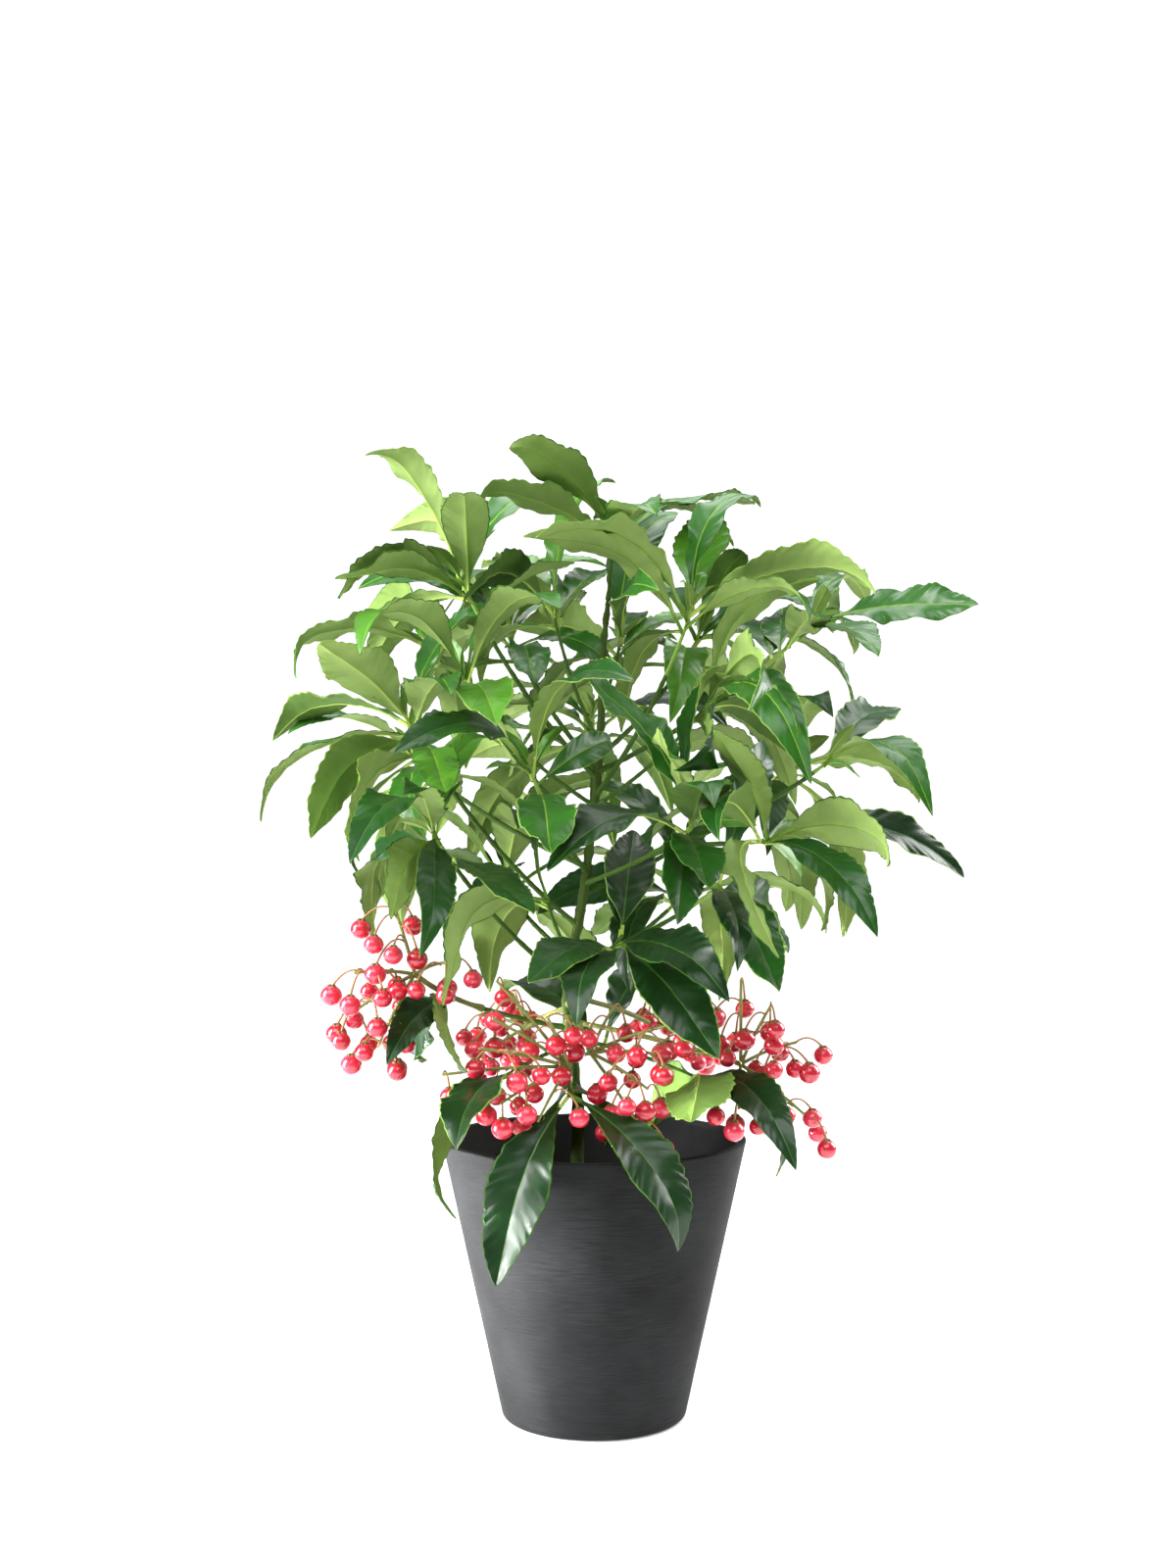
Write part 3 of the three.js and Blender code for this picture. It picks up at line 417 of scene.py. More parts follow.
def stem_of(shoot):
    """The curve of a shoot, where its leafy stem starts and where its leaves start."""
    if shoot["name"] in boughs:
        curve, end = boughs[shoot["name"]]
    else:
        curve, end = shoot_curve(foot_of(shoot), np.array(shoot["tip"], float)), 0
    length = curve.length()
    spread = LEAF_SPACING * max(len(shoot["leaves"]), shoot["fill"])
    leafy = min(shoot.get("spread", spread), LEAFY_SHARE * shoot.get("stem", USUAL_STEM))
    return dict(curve=curve, start=end + GAP / length, leafy=1 - leafy / length, length=length)


def leaf_base(stem, index, count):
    share = 1 - ((1 - stem["leafy"]) * index) / max(1, count)
    return stem["curve"].point(min(share, TOP_LEAF_SHARE))


def shown_tip(base, turn, seen, side, length):
    aim = base + seen * np.array([math.cos(turn), 0, math.sin(turn)])
    ray = unit(aim - EYE)
    to_base = base - EYE
    nearest = to_base @ ray
    away = max(0, length * length - to_base @ to_base + nearest * nearest)
    return EYE + ray * (nearest - side * math.sqrt(away))


def shown_upper(base, along, face, tilt_sign):
    to_eye = unit(EYE - base)
    frontal = unit(to_eye - along * (to_eye @ along))
    level = np.cross(along, frontal)
    sign = math.copysign(1, level[2]) if abs(level[2]) > LEVEL_ENOUGH else tilt_sign
    rest = math.sqrt(max(0, 1 - face * face))
    return unit(frontal * face + level * sign * rest)


def headed(heading, rise):
    level = math.cos(rise)
    return np.array([level * math.cos(heading), level * math.sin(heading), math.sin(rise)])


def blade_shape(share):
    blade = np.clip(share - PETIOLE_SHARE, 0, None) / (1 - PETIOLE_SHARE)
    return np.sin(np.pi * np.clip(blade, 0, 1) ** BLADE_PEAK).clip(0) ** BLADE_TAPER


def inside_crown(point):
    return np.linalg.norm((point - CROWN_MIDDLE) / CROWN_REACH) < 1


def outside_pot(point):
    return point[2] > POT_HEIGHT or math.hypot(point[0], point[1]) > RIM_RADIUS


def bow_way(along, upper):
    return unit(upper * BOW_TO_UPPER + UP - along * (UP @ along))


def ring_sides(leaf, share):
    """The two edges of a leaf's blade at a share of its length."""
    along, length, bow = leaf["along"], leaf["length"], leaf["bow"]
    way = bow_way(along, leaf["upper"])
    middle = leaf["base"] + along * length * share + way * length * bow * 4 * share * (1 - share)
    tangent = unit(along + way * bow * 4 * (1 - 2 * share))
    rolled = about(leaf["upper"], along, leaf["twist"] * (share - LEAF_STATIONS[1]))
    side = unit(np.cross(tangent, rolled))
    normal = np.cross(side, tangent)
    half = leaf["width"] / 2 * float(blade_shape(share))
    return [middle + side * half * s + normal * half * LEAF_FOLD for s in (-1, 1)]


def node_points(name):
    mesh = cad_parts[name].data
    points = np.zeros(len(mesh.vertices) * 3, np.float32)
    mesh.vertices.foreach_get("co", points)
    return points.reshape(-1, 3).astype(float) / MM


def nearest(points, place):
    return float(np.sqrt(((points - place) ** 2).sum(1).min()))


def grown_leaf(points, leaf_at):
    """The way in which this leaf stands among the solids, or None where the rule skipped it."""
    best, most = None, -1
    for stretch, roll, turn, broad in NUDGES:
        leaf = leaf_at(stretch, math.radians(roll), math.radians(turn), broad)
        tip = leaf["base"] + leaf["along"] * leaf["length"]
        if nearest(points, tip) > TIP_FOUND:
            continue
        sides = [p for share in LEAF_STATIONS[1:] for p in ring_sides(leaf, share)]
        found = sum(nearest(points, place) < EDGE_FOUND for place in sides)
        if found > most:
            best, most = leaf, found
    return best


def shown_leaves(shoot, stem, points, random):
    grown = []
    for index, row in enumerate(shoot["leaves"]):
        turn, seen, face, side = row[:4]
        bow = row[4] if len(row) > 4 else USUAL_BOW
        twist = math.radians(row[5] if len(row) > 5 else 0)
        usual = LEAF_LENGTH * drawn(SHOWN_LENGTH, random)
        base = leaf_base(stem, index, len(shoot["leaves"]))
        width = LEAF_WIDTH * drawn(SHOWN_WIDTH, random)
        tilt_sign = -1 if random() < 0.5 else 1

        def leaf_at(stretch, roll, turn_more, broad):
            wanted = max(usual, seen / FLATTEST) * stretch
            tip = shown_tip(base, math.radians(turn) + turn_more, seen, side, wanted)
            length = float(np.linalg.norm(tip - base))
            along = unit(tip - base)
            upper = about(shown_upper(base, along, face, tilt_sign), along, roll)
            return dict(base=base, along=along, upper=upper, length=length, width=width * broad,
                        bow=bow, twist=twist)

        grown.append(grown_leaf(points, leaf_at))
    return grown


def fill_leaves(shoot, stem, points, random):
    grown = []
    low, high = shoot["sector"]
    for i in range(shoot["fill"]):
        around = (i * GOLDEN_ANGLE + HEADING_STRAY * random()) % 360
        heading = math.radians(low + ((high - low) * around) / 360)
        lower = (RISE_SPAN * i) / max(1, shoot["fill"] - 1)
        rise = math.radians(TOP_RISE - lower + strayed(RISE_STRAY, random))
        own_roll = math.radians(strayed(ROLL_STRAY, random))
        base = leaf_base(stem, i, shoot["fill"])
        usual = LEAF_LENGTH * drawn(FILL_LENGTH, random)
        width = LEAF_WIDTH * drawn(FILL_WIDTH, random)
        bow = drawn(FILL_BOW, random)
        twist = math.radians(strayed(TWIST_STRAY, random))
        while rise > -1 and not inside_crown(base + headed(heading, rise) * usual):
            rise -= math.radians(RISE_STEP)
        tip = base + headed(heading, rise) * usual
        if not (inside_crown(tip) and outside_pot(tip)):
            continue

        def leaf_at(stretch, roll, turn_more, broad):
            along = headed(heading + 2 * turn_more, rise + turn_more)
            upper = about(unit(UP - along * (UP @ along)), along, own_roll + roll)
            return dict(base=base, along=along, upper=upper, length=usual * stretch,
                        width=width * broad, bow=bow, twist=twist)

        grown.append(grown_leaf(points, leaf_at))
    return grown


def pedicel_of(line, share, turn, random):
    """A berry's thin stalk from a spoke: its root, knee and end, with the berry's centre and radius."""
    root = line[0] + (line[1] - line[0]) * share
    heading = math.radians(turn + PEDICEL_STRAY * random())
    reach = PEDICEL_LENGTH * drawn(PEDICEL_REACH, random)
    radius = BERRY_RADIUS * drawn(BERRY_SIZE, random)
    drop = drawn(BERRY_DROP, random)
    hang = root + np.array([reach * math.cos(heading), reach * math.sin(heading), -drop])
    knee = (root + hang) / 2 + UP * (PEDICEL_RISE + drop / 2)
    return dict(root=root, knee=knee, hang=hang, centre=hang - UP * radius * BERRY_SUNK, radius=radius)


# Directions that no limb or berry runs along, from which their cross directions are worked out
LIMB_ACROSS = [0.31, 0.2, 0.93]
BERRY_ACROSS = [0.3, 0.9, 0.2]
ACROSS = [0.2, 0.9, 0.3]

# How finely berries are cut
BERRY_ROWS = 10
BERRY_SIDES = 16

# How many waves make up a noise, and how often each repeats within the noise's size
WAVES = 7
WAVE_REPEATS = [0.6, 1.5]


# Closed bodies gathered into one mesh
class Heap:
    def __init__(self):
        self.points, self.faces, self.slots = [], {3: [], 4: []}, {3: [], 4: []}
        self.count = 0
        self.triangles = 0

    def add(self, points, faces, slots):
        self.points.append(points)
        for rows, tints in zip(faces, slots):
            sides = rows.shape[1]
            self.faces[sides].append(rows + self.count)
            self.slots[sides].append(np.broadcast_to(tints, len(rows)))
            self.triangles += len(rows) * (sides - 2)
        self.count += len(points)

    def piece(self, name, materials, nodes, slot):
        """A piece of the model, which takes the place of these nodes of the frame."""
        mesh = bpy.data.meshes.new(name)
        points = np.concatenate(self.points) * MM
        loops, starts, slots, at = [], [], [], 0
        for sides in (3, 4):
            if self.faces[sides]:
                rows = np.concatenate(self.faces[sides])
                loops.append(rows.ravel())
                starts.append(at + sides * np.arange(len(rows)))
                slots.append(np.concatenate(self.slots[sides]))
                at += rows.size
        mesh.vertices.add(len(points))
        mesh.vertices.foreach_set("co", points.astype(np.float32).ravel())
        mesh.loops.add(at)
        mesh.loops.foreach_set("vertex_index", np.concatenate(loops).astype(np.int32))
        mesh.polygons.add(sum(len(s) for s in starts))
        mesh.polygons.foreach_set("loop_start", np.concatenate(starts).astype(np.int32))
        for made in materials:
            mesh.materials.append(made)
        mesh.polygons.foreach_set("material_index", np.concatenate(slots).astype(np.int32))
        mesh.polygons.foreach_set("use_smooth", np.ones(len(mesh.polygons), bool))
        mesh.update(calc_edges=True)
        piece = bpy.data.objects.new(name, mesh)
        bpy.context.scene.collection.objects.link(piece)
        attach(piece, "root")
        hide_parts(*nodes)


def wave_of(seed, size):
    """Smooth seeded noise over points, about -1 to 1, with lumps of about this size."""
    rng = np.random.default_rng(seed)
    ways = rng.normal(size=(WAVES, 3))
    ways *= (TURN / size * rng.uniform(*WAVE_REPEATS, WAVES) / np.linalg.norm(ways, axis=1))[:, None]
    phases = rng.uniform(0, TURN, WAVES)

    def wave(points):
        return np.sin(points @ ways.T + phases).sum(-1) / math.sqrt(WAVES)

    return wave


def level_ways(sides):
    """Directions all round, level."""
    angles = TURN * np.arange(sides) / sides
    return np.stack([np.cos(angles), np.sin(angles), np.zeros(sides)], -1)


def body_faces(rings, sides):
    """The quads between rings of points, and the fans that close the first ring to the point after the
    rings and the last ring to the point after that."""
    i, j = np.meshgrid(np.arange(rings - 1), np.arange(sides), indexing="ij")
    k = (j + 1) % sides
    quads = np.stack([i * sides + j, i * sides + k, (i + 1) * sides + k, (i + 1) * sides + j], -1)
    j = np.arange(sides)
    k = (j + 1) % sides
    foot, last = np.full(sides, rings * sides), (rings - 1) * sides
    fans = [np.stack([foot, k, j], -1), np.stack([foot + 1, last + j, last + k], -1)]
    return [quads.reshape(-1, 4), np.concatenate(fans)]


def frames_along(line):
    """Tangents and two cross directions along a line, without a sudden turn."""
    tangents = np.gradient(line, axis=0)
    tangents /= np.linalg.norm(tangents, axis=1)[:, None]
    across = np.cross(tangents[0], LIMB_ACROSS)
    one = []
    for tangent in tangents:
        across = unit(across - tangent * (across @ tangent))
        one.append(across)
    one = np.array(one)
    return tangents, one, np.cross(tangents, one)


def tube(heap, line, radii, sides, slot, relief=None):
    """A closed round limb along a line of points; relief changes the radius from place to place."""
    line, radii = np.asarray(line, float), np.asarray(radii, float)
    _, one, two = frames_along(line)
    angles = TURN * np.arange(sides) / sides
    ways = one[:, None] * np.cos(angles)[:, None] + two[:, None] * np.sin(angles)[:, None]
    rings = line[:, None] + ways * radii[:, None, None]
    if relief:
        rings = rings + ways * relief(rings)[..., None]
    points = np.concatenate([rings.reshape(-1, 3), line[:1], line[-1:]])
    heap.add(points, body_faces(len(line), sides), [slot, slot])


def ball(heap, centre, radius, down, slots):
    """A berry: round, a little flattened, with a dimple where its dried style sits."""
    rows, sides = BERRY_ROWS, BERRY_SIDES
    down = unit(down)
    one = unit(np.cross(down, BERRY_ACROSS))
    two = np.cross(down, one)
    polar = np.pi * (np.arange(1, rows) / rows)
    angles = TURN * np.arange(sides) / sides
    ring = np.sin(polar)[:, None, None] * (
        one * np.cos(angles)[None, :, None] + two * np.sin(angles)[None, :, None]
    )
    height = -np.cos(polar)[:, None, None] * down * BERRY_HEIGHT
    ends = [-down * BERRY_TOP, down * BERRY_DIMPLE]
    points = np.concatenate([(ring + height).reshape(-1, 3), ends]) * radius + centre
    heap.add(points, body_faces(rows - 1, sides), [slots[0], np.repeat(slots, sides)])


# Leaves
BLADE_THICKNESS = 0.45
EDGE_THINNER = 0.35
PETIOLE_HALF = 0.95
PETIOLE_FADE = 1.6
EDGE_PETIOLE = 0.9
MIDRIB_HALF = 0.55
MIDRIB_TAPER = 0.65
MOST_MIDRIB = 0.35
LEAST_HALF = 0.2
MIDRIB_RIDGE = 0.7
RIDGE_TAPER = 0.8
RIDGE_WIDTH = 0.75
PETIOLE_RIDGE = 1.3
RIDGE_STEP = 0.12
GROOVE_WIDTH = 0.7
GROOVE_DEPTH = 0.3
VEIN_PAIRS = 14
VEIN_SWEEP = 0.12
SWEEP_POWER = 1.3
VEIN_PUFF = 0.1
FULL_PUFF = 6
MARGIN_WAVE = 0.28
FULL_WAVE = 8
QUICK_WAVE = 0.45
QUICKER = 2.3
QUICK_LAG = 2
MARGIN_TEETH = 0.026
TOOTH_POWER = 8
UNEVEN = 0.5
UNEVEN_TURNS = 37
DROOP_FROM = 0.72
DROOP = 3
FULLNESS = [1.15, 0.38]
TIP_HALF = 0.3
PETIOLE_ROWS = [0.0, 0.03, 0.055]
TIP_ROWS = [0.97, 0.985, 1.0]
ROW_PUFFS = [0.0, 0.75, 1.0, 0.7]
ROW_TEETH = [-1.0, 0.1, 1.0, 0.3]
SIDE_PLACES = [0.16, 0.42, 0.7, 0.95, 1.0]
SIDE_PUFF = [0.0, 0.6, 1.0, 0.9, 0.4, 0.2]
SLENDER = 0.88
FLATTER = 0.92
BLISTER = wave_of(seed=31, size=9)
BLISTER_HEIGHT = 0.22

# The small young leaves at a tip, where it is this high: spread and length are given as the innermost
# leaf's and how much each next one adds
YOUNG_ABOVE = 275
YOUNG_LEAVES = 5
YOUNG_VEINS = 5
YOUNG_FROM = 0.93
YOUNG_STRAY = 40
YOUNG_SPREAD = [0.35, 0.16]
YOUNG_LENGTH = [12, 5.5]
YOUNG_SIZE = [0.85, 1.2]
YOUNG_WIDTH = 0.3
YOUNG_SPACING = 0.8
YOUNG_BOW = 0.12
YOUNG_TWIST = 25

# Leaves that start below this height are broader
BROAD_BELOW = 215
BROADER = 1.28

# Leaf tints, as slots of the leaf pieces
LEAF_SLOTS = [
    "upper_deep", "upper_dark", "upper_mid", "upper_fresh", "under_pale", "under_bright", "under_mid",
    "under_deep", "rib_pale", "rib_green", "rib_dark", "margin_pale_highlight", "margin_green",
]
TINT = {name: i for i, name in enumerate(LEAF_SLOTS)}


def outline_shape(share, peak):
    """Half the width of a blade at shares of its length, as a share of its widest."""
    blade = np.clip((share - PETIOLE_SHARE) / (1 - PETIOLE_SHARE), 0, 1)
    return SLENDER * np.sin(np.pi * blade ** peak).clip(0) ** (FULLNESS[0] - FULLNESS[1] * blade)


def petiole_half(share, scale):
    """Half the width of a leaf's own stalk, which fades out along the blade."""
    return PETIOLE_HALF * scale * np.clip(PETIOLE_FADE - share, 0, 1)


def leaf_grid(pairs):
    """Rows of a blade as shares of its length, with how far each is puffed up between the side veins and
    how far its margin stands out."""
    first, last = PETIOLE_SHARE, TIP_ROWS[0]
    steps = pairs * len(ROW_PUFFS)
    body = first + (last - first) * np.arange(steps) / steps
    ends = [np.zeros(len(PETIOLE_ROWS)), np.zeros(len(TIP_ROWS))]
    rows = np.concatenate([PETIOLE_ROWS, body, TIP_ROWS])
    puffs = np.concatenate([ends[0], np.tile(ROW_PUFFS, pairs), ends[1]])
    teeth = np.concatenate([ends[0], np.tile(ROW_TEETH, pairs), ends[1]])
    return rows, puffs, teeth


def leaf_net(leaf, rows, row_teeth, scale):
    """For each point of a blade: its share of the length, its place across from -1 to 1, how wide the
    blade is there to one side, and how the margin is toothed."""
    widest, peak = leaf["width"] / 2, leaf["peak"]
    half = np.maximum(widest * outline_shape(rows, peak), petiole_half(rows, scale))
    rib = MIDRIB_HALF * scale * (1 - MIDRIB_TAPER * rows) / np.maximum(half, LEAST_HALF)
    rib = np.minimum(rib, MOST_MIDRIB)[:, None]
    one = rib + (1 - rib) * np.concatenate([[0.0], SIDE_PLACES])
    across = np.concatenate([-one[:, ::-1], np.zeros((len(rows), 1)), one], axis=1)
    blade = np.clip((rows - PETIOLE_SHARE) / (1 - PETIOLE_SHARE), 0, 1)
    sweep = VEIN_SWEEP * 4 * blade * (1 - blade)
    t = rows[:, None] + sweep[:, None] * np.abs(across) ** SWEEP_POWER
    half = np.maximum(widest * outline_shape(t, peak), petiole_half(t, scale) * EDGE_PETIOLE)
    half = half * (1 - leaf["taper"] * np.clip(2 * t - 1, 0, 1) ** 2)
    half[-1] *= TIP_HALF
    uneven = 1 + UNEVEN * np.sin(t * UNEVEN_TURNS + leaf["phase"] + np.sign(across))
    teeth = row_teeth[:, None] * uneven
    half = half * (1 + MARGIN_TEETH * (teeth * np.abs(across) ** TOOTH_POWER) * (blade > 0)[:, None])
    return t, across, half, teeth


def leaf_frame(leaf, t):
    """The bowed midrib beside each point, with the ways across it and out of the blade."""
    along, bow, up, length = leaf["along"], leaf["bow"], leaf["upper"], leaf["length"]
    way = bow_way(along, up)
    t = t[..., None]
    middle = leaf["base"] + along * length * t + way * length * bow * 4 * t * (1 - t)
    tangent = along + way * bow * 4 * (1 - 2 * t)
    tangent /= np.linalg.norm(tangent, axis=-1, keepdims=True)
    angle = leaf["twist"] * (t - LEAF_STATIONS[1])
    rolled = up * np.cos(angle) + np.cross(along, up) * np.sin(angle)
    rolled = rolled + along * (along @ up) * (1 - np.cos(angle))
    side = np.cross(tangent, rolled)
    side /= np.linalg.norm(side, axis=-1, keepdims=True)
    return middle, side, np.cross(side, tangent)


def leaf_waves(leaf, t, across, teeth):
    """The slow and quick waves of a blade's edge, not the same on its two sides."""
    edge, other = np.abs(across), across > 0
    phase, turns = leaf["phase"], leaf["turns"]
    slow = np.sin(TURN * turns * t + phase + np.where(other, leaf["lag"], 0)) * edge ** 2
    quick = np.sin(TURN * QUICKER * turns * t + 2 * phase + np.where(other, QUICK_LAG, 0)) * edge ** 3
    return leaf["wave"] * (slow + QUICK_WAVE * quick) + MARGIN_WAVE * (teeth * edge ** 5)


def leaf_faces(rows, tints):
    """The faces of a blade's upper side, underside and edge, each with its tint."""
    upper, under, rib, low_rib, margin = tints
    sides = len(SIDE_PLACES) + 1
    columns = 2 * sides + 1
    g = np.arange(rows * columns).reshape(rows, columns)
    u = g + rows * columns
    top = np.stack([g[:-1, :-1], g[:-1, 1:], g[1:, 1:], g[1:, :-1]], -1)
    low = np.stack([u[:-1, :-1], u[1:, :-1], u[1:, 1:], u[:-1, 1:]], -1)
    rims = np.concatenate([
        np.stack([g[:-1, -1], u[:-1, -1], u[1:, -1], g[1:, -1]], -1),
        np.stack([g[:-1, 0], g[1:, 0], u[1:, 0], u[:-1, 0]], -1),
        np.stack([g[0, :-1], u[0, :-1], u[0, 1:], g[0, 1:]], -1),
        np.stack([g[-1, :-1], g[-1, 1:], u[-1, 1:], u[-1, :-1]], -1),
    ])
    slots = []
    for faces, tint, middle in ((top, upper, rib), (low, under, low_rib)):
        slot = np.full(faces.shape[:2], tint)
        slot[:, [sides - 1, sides]] = middle
        # The outermost strip on each side, and the rim faces too, take the margin tint; the pale margin tint
        # is partly the edge's own paler line and partly painted highlight along the edge.
        slot[:, [0, -1]] = margin
        slot[:len(PETIOLE_ROWS)] = low_rib
        slots.append(slot.ravel())
    faces = np.concatenate([top.reshape(-1, 4), low.reshape(-1, 4), rims])
    return faces, np.concatenate([*slots, np.full(len(rims), margin)])


def leaf_body(heap, leaf, tints, pairs=VEIN_PAIRS):
    """A leaf as one closed thin body: folded, puffed between its veins, waved and toothed at its edge and
    drooping at its tip, with a ridge below its midrib."""
    rows, puffs, row_teeth = leaf_grid(pairs)
    scale = min(1.0, leaf["length"] / LEAF_LENGTH)
    t, across, half, teeth = leaf_net(leaf, rows, row_teeth, scale)
    middle, side, normal = leaf_frame(leaf, t)
    edge = np.abs(across)
    s = across * half
    flat = middle + side * s[..., None]
    groove = np.exp(-((s / (GROOVE_WIDTH * scale)) ** 2)) * GROOVE_DEPTH * scale
    lift = leaf["fold"] * np.abs(s) - groove * (t > PETIOLE_ROWS[1])
    puff = np.concatenate([SIDE_PUFF[::-1], [0.0], SIDE_PUFF])
    field = VEIN_PUFF * scale * puffs[:, None] * puff * np.clip(half / (FULL_PUFF * scale), 0, 1)
    wide = np.clip(half / FULL_WAVE, 0, 1)
    field = field + leaf_waves(leaf, t, across, teeth) * scale * wide
    field = field + BLISTER_HEIGHT * scale * BLISTER(flat) * wide
    droop = -leaf["curl"] * leaf["length"] * np.clip(t - DROOP_FROM, 0, 1) ** 2 * DROOP
    top = flat + normal * (lift + field + droop)[..., None]
    thicker = (PETIOLE_RIDGE - MIDRIB_RIDGE) * np.clip(1 - t / RIDGE_STEP, 0, 1)
    ridge = (MIDRIB_RIDGE * (1 - RIDGE_TAPER * t) + thicker) * scale
    depth = BLADE_THICKNESS * scale * (1 - EDGE_THINNER * edge)
    depth = depth + (ridge + groove) * np.exp(-((s / (RIDGE_WIDTH * scale)) ** 2))
    low = top - normal * depth[..., None]
    faces, slots = leaf_faces(len(rows), tints)
    heap.add(np.concatenate([top.reshape(-1, 3), low.reshape(-1, 3)]), [faces], [slots])


# Young leaves always take the pale margin tint, which is partly painted highlight along the edge.
YOUNG_TINTS = ["upper_fresh", "under_bright", "rib_pale", "rib_pale", "margin_pale_highlight"]
UNDERSIDES = ["under_pale", "under_bright", "under_mid", "under_deep"]

# The higher a leaf the younger it is: the height that counts as young, how far down it is old, and how
# much that strays. Up to each share of age a leaf has these tints above, below and along its midrib.
YOUNG_HEIGHT = 430
AGE_SPAN = 220
AGE_STRAY = 0.22
AGES = [
    [0.5, ["upper_mid", "under_pale", "rib_green"]],
    [0.85, ["upper_dark", "under_bright", "rib_dark"]],
    [math.inf, ["upper_deep", "under_mid", "rib_dark"]],
]
FRESH_BEFORE = 0.6
FRESH_CHANCE = 0.16
OTHER_UNDERSIDE_CHANCE = 0.3
PALE_RIB_CHANCE = 0.5
HIGHLIGHT_MARGIN_CHANCE = 0.4


def tints_for(height, rng, young=False):
    """Upper side, underside, midrib above, midrib below and margin of one leaf."""
    if young:
        return [TINT[name] for name in YOUNG_TINTS]
    age = (YOUNG_HEIGHT - height) / AGE_SPAN + rng.uniform(-AGE_STRAY, AGE_STRAY)
    names = list(next(tints for limit, tints in AGES if age < limit))
    if age < FRESH_BEFORE and rng.random() < FRESH_CHANCE:
        names[0] = "upper_fresh"
    if rng.random() < OTHER_UNDERSIDE_CHANCE:
        names[1] = UNDERSIDES[int(rng.integers(0, len(UNDERSIDES)))]
    names.append("rib_pale" if rng.random() < PALE_RIB_CHANCE else "rib_green")
    # The pale margin tint is partly a paler edge line and partly painted highlight where light catches the
    # edge.
    names.append("margin_pale_highlight" if rng.random() < HIGHLIGHT_MARGIN_CHANCE else "margin_green")
    return [TINT[name] for name in names]


# How leaves differ from one another, between these bounds
TRAITS = dict(
    fold=(0.06, 0.22), phase=(0, TURN), lag=(0, TURN), turns=(1.6, 3.0), wave=(0.9, 2.6),
    curl=(-0.35, 0.7), breadth=(0.84, 1.16), taper=(0, 0.2), peak=(0.95, 1.22),
)


def dressed(leaf, rng):
    for trait, bounds in TRAITS.items():
        leaf[trait] = rng.uniform(*bounds)
    leaf["width"] *= leaf["breadth"]
    if leaf["base"][2] < BROAD_BELOW:
        leaf["width"] *= BROADER
    leaf["bow"] *= FLATTER
    return leaf


def young_leaves(stem, rng):
    """The small fresh leaves round a stem's tip."""
    tip = stem["curve"].point(1.0)
    way = unit(tip - stem["curve"].point(YOUNG_FROM))
    across = unit(np.cross(way, ACROSS))
    grown = []
    for i in range(YOUNG_LEAVES):
        turn = math.radians(GOLDEN_ANGLE * i + YOUNG_STRAY * rng.random())
        out = about(across, way, turn)
        spread = YOUNG_SPREAD[0] + YOUNG_SPREAD[1] * i
        along = unit(way * math.cos(spread) + out * math.sin(spread))
        length = (YOUNG_LENGTH[0] + YOUNG_LENGTH[1] * i) * rng.uniform(*YOUNG_SIZE)
        upper = unit(way - along * (way @ along))
        twist = math.radians(rng.uniform(-YOUNG_TWIST, YOUNG_TWIST))
        leaf = dict(base=tip - way * YOUNG_SPACING * i, along=along, upper=upper, length=length,
                    width=length * YOUNG_WIDTH, bow=YOUNG_BOW, twist=twist)
        grown.append(dressed(leaf, rng))
    return grown


# The relief of limbs, how far it is drawn out upwards, and how high it stands
BARK = wave_of(seed=11, size=2.2)
BARK_LONG = wave_of(seed=12, size=9)
TWIG = wave_of(seed=13, size=3)
BARK_STRETCH = np.array([1, 1, 0.25])
TWIG_STRETCH = np.array([1, 1, 0.4])
BARK_HEIGHT = 0.16
BARK_LONG_HEIGHT = 0.22
TWIG_HEIGHT = 0.05
LEAN = 0.82
SUNK = 1.5
TIP_TURNS = [30, 55, 75]

# The scars of fallen leaves: their spacing and swell on trunk, boughs and stems
TRUNK_SCARS = [13, 0.32]
BOUGH_SCARS = [9, 0.16]
STEM_SCARS = [6, 0.14]
FIRST_SCAR = 0.6
SCAR_HALF = 0.9

# The collar where a limb leaves another: its height and reach
BOUGH_COLLAR = [0.6, 4]
STEM_COLLAR = [0.5, 3]
SPRAY_COLLAR = [0.7, 4]

# How finely limbs are cut: rings or the step between them, and sides
TRUNK_RINGS = 190
TRUNK_SPAN = 300
TRUNK_SIDES = 28
BOUGH_STEP = 1.6
BOUGH_SIDES = 16
STEM_STEP = 1.3
STEM_SIDES = 12
PEDUNCLE_RINGS = 40
PEDUNCLE_SIDES = 10
SPOKE_RINGS = 16
SPOKE_SIDES = 8
STALK_RINGS = 12
LEAST_RINGS = 4

# Fruit
SPOKE_TAPER = 0.25
SPOKE_ARCH = 1.2
STALK_RADIUS = 0.42
STALK_FOOT = [0.25, 0.08]
STALK_CUP = 0.25
SEPALS = 5
SEPAL_ANGLES = [0.05, 0.3, 0.55]
SEPAL_RADII = [0.6, 0.75, 0.12]
SEPAL_SIDES = 6
SEPAL_SUNK = 0.97
SPARSE_SPRAYS = ["fruit_middle_left", "fruit_middle_right"]
MORE_TRIES = 40
MORE_FROM = 0.45
BERRY_CLEAR = 0.2
LEAF_CLEAR = 1


def bend_line(curve, start, end, count):
    shares = np.linspace(start, end, count)
    return shares, np.array([curve.point(s) for s in shares])


def limb_line(curve, start, end, step):
    return bend_line(curve, start, end, max(LEAST_RINGS, int(curve.length() * (end - start) / step) + 1))


def bark(points):
    return BARK_HEIGHT * BARK(points * BARK_STRETCH) + BARK_LONG_HEIGHT * BARK_LONG(points)


def green_bark(points):
    return TWIG_HEIGHT * TWIG(points * TWIG_STRETCH)


def swelling(places, height, reach):
    return height * np.exp(-((places / reach) ** 2))


def noded(radii, shares, length, spacing, swell):
    """Radii that swell at the scars of fallen leaves."""
    for mark in np.arange(spacing * FIRST_SCAR, length, spacing):
        radii = radii + swelling(shares * length - mark, swell, SCAR_HALF)
    return radii


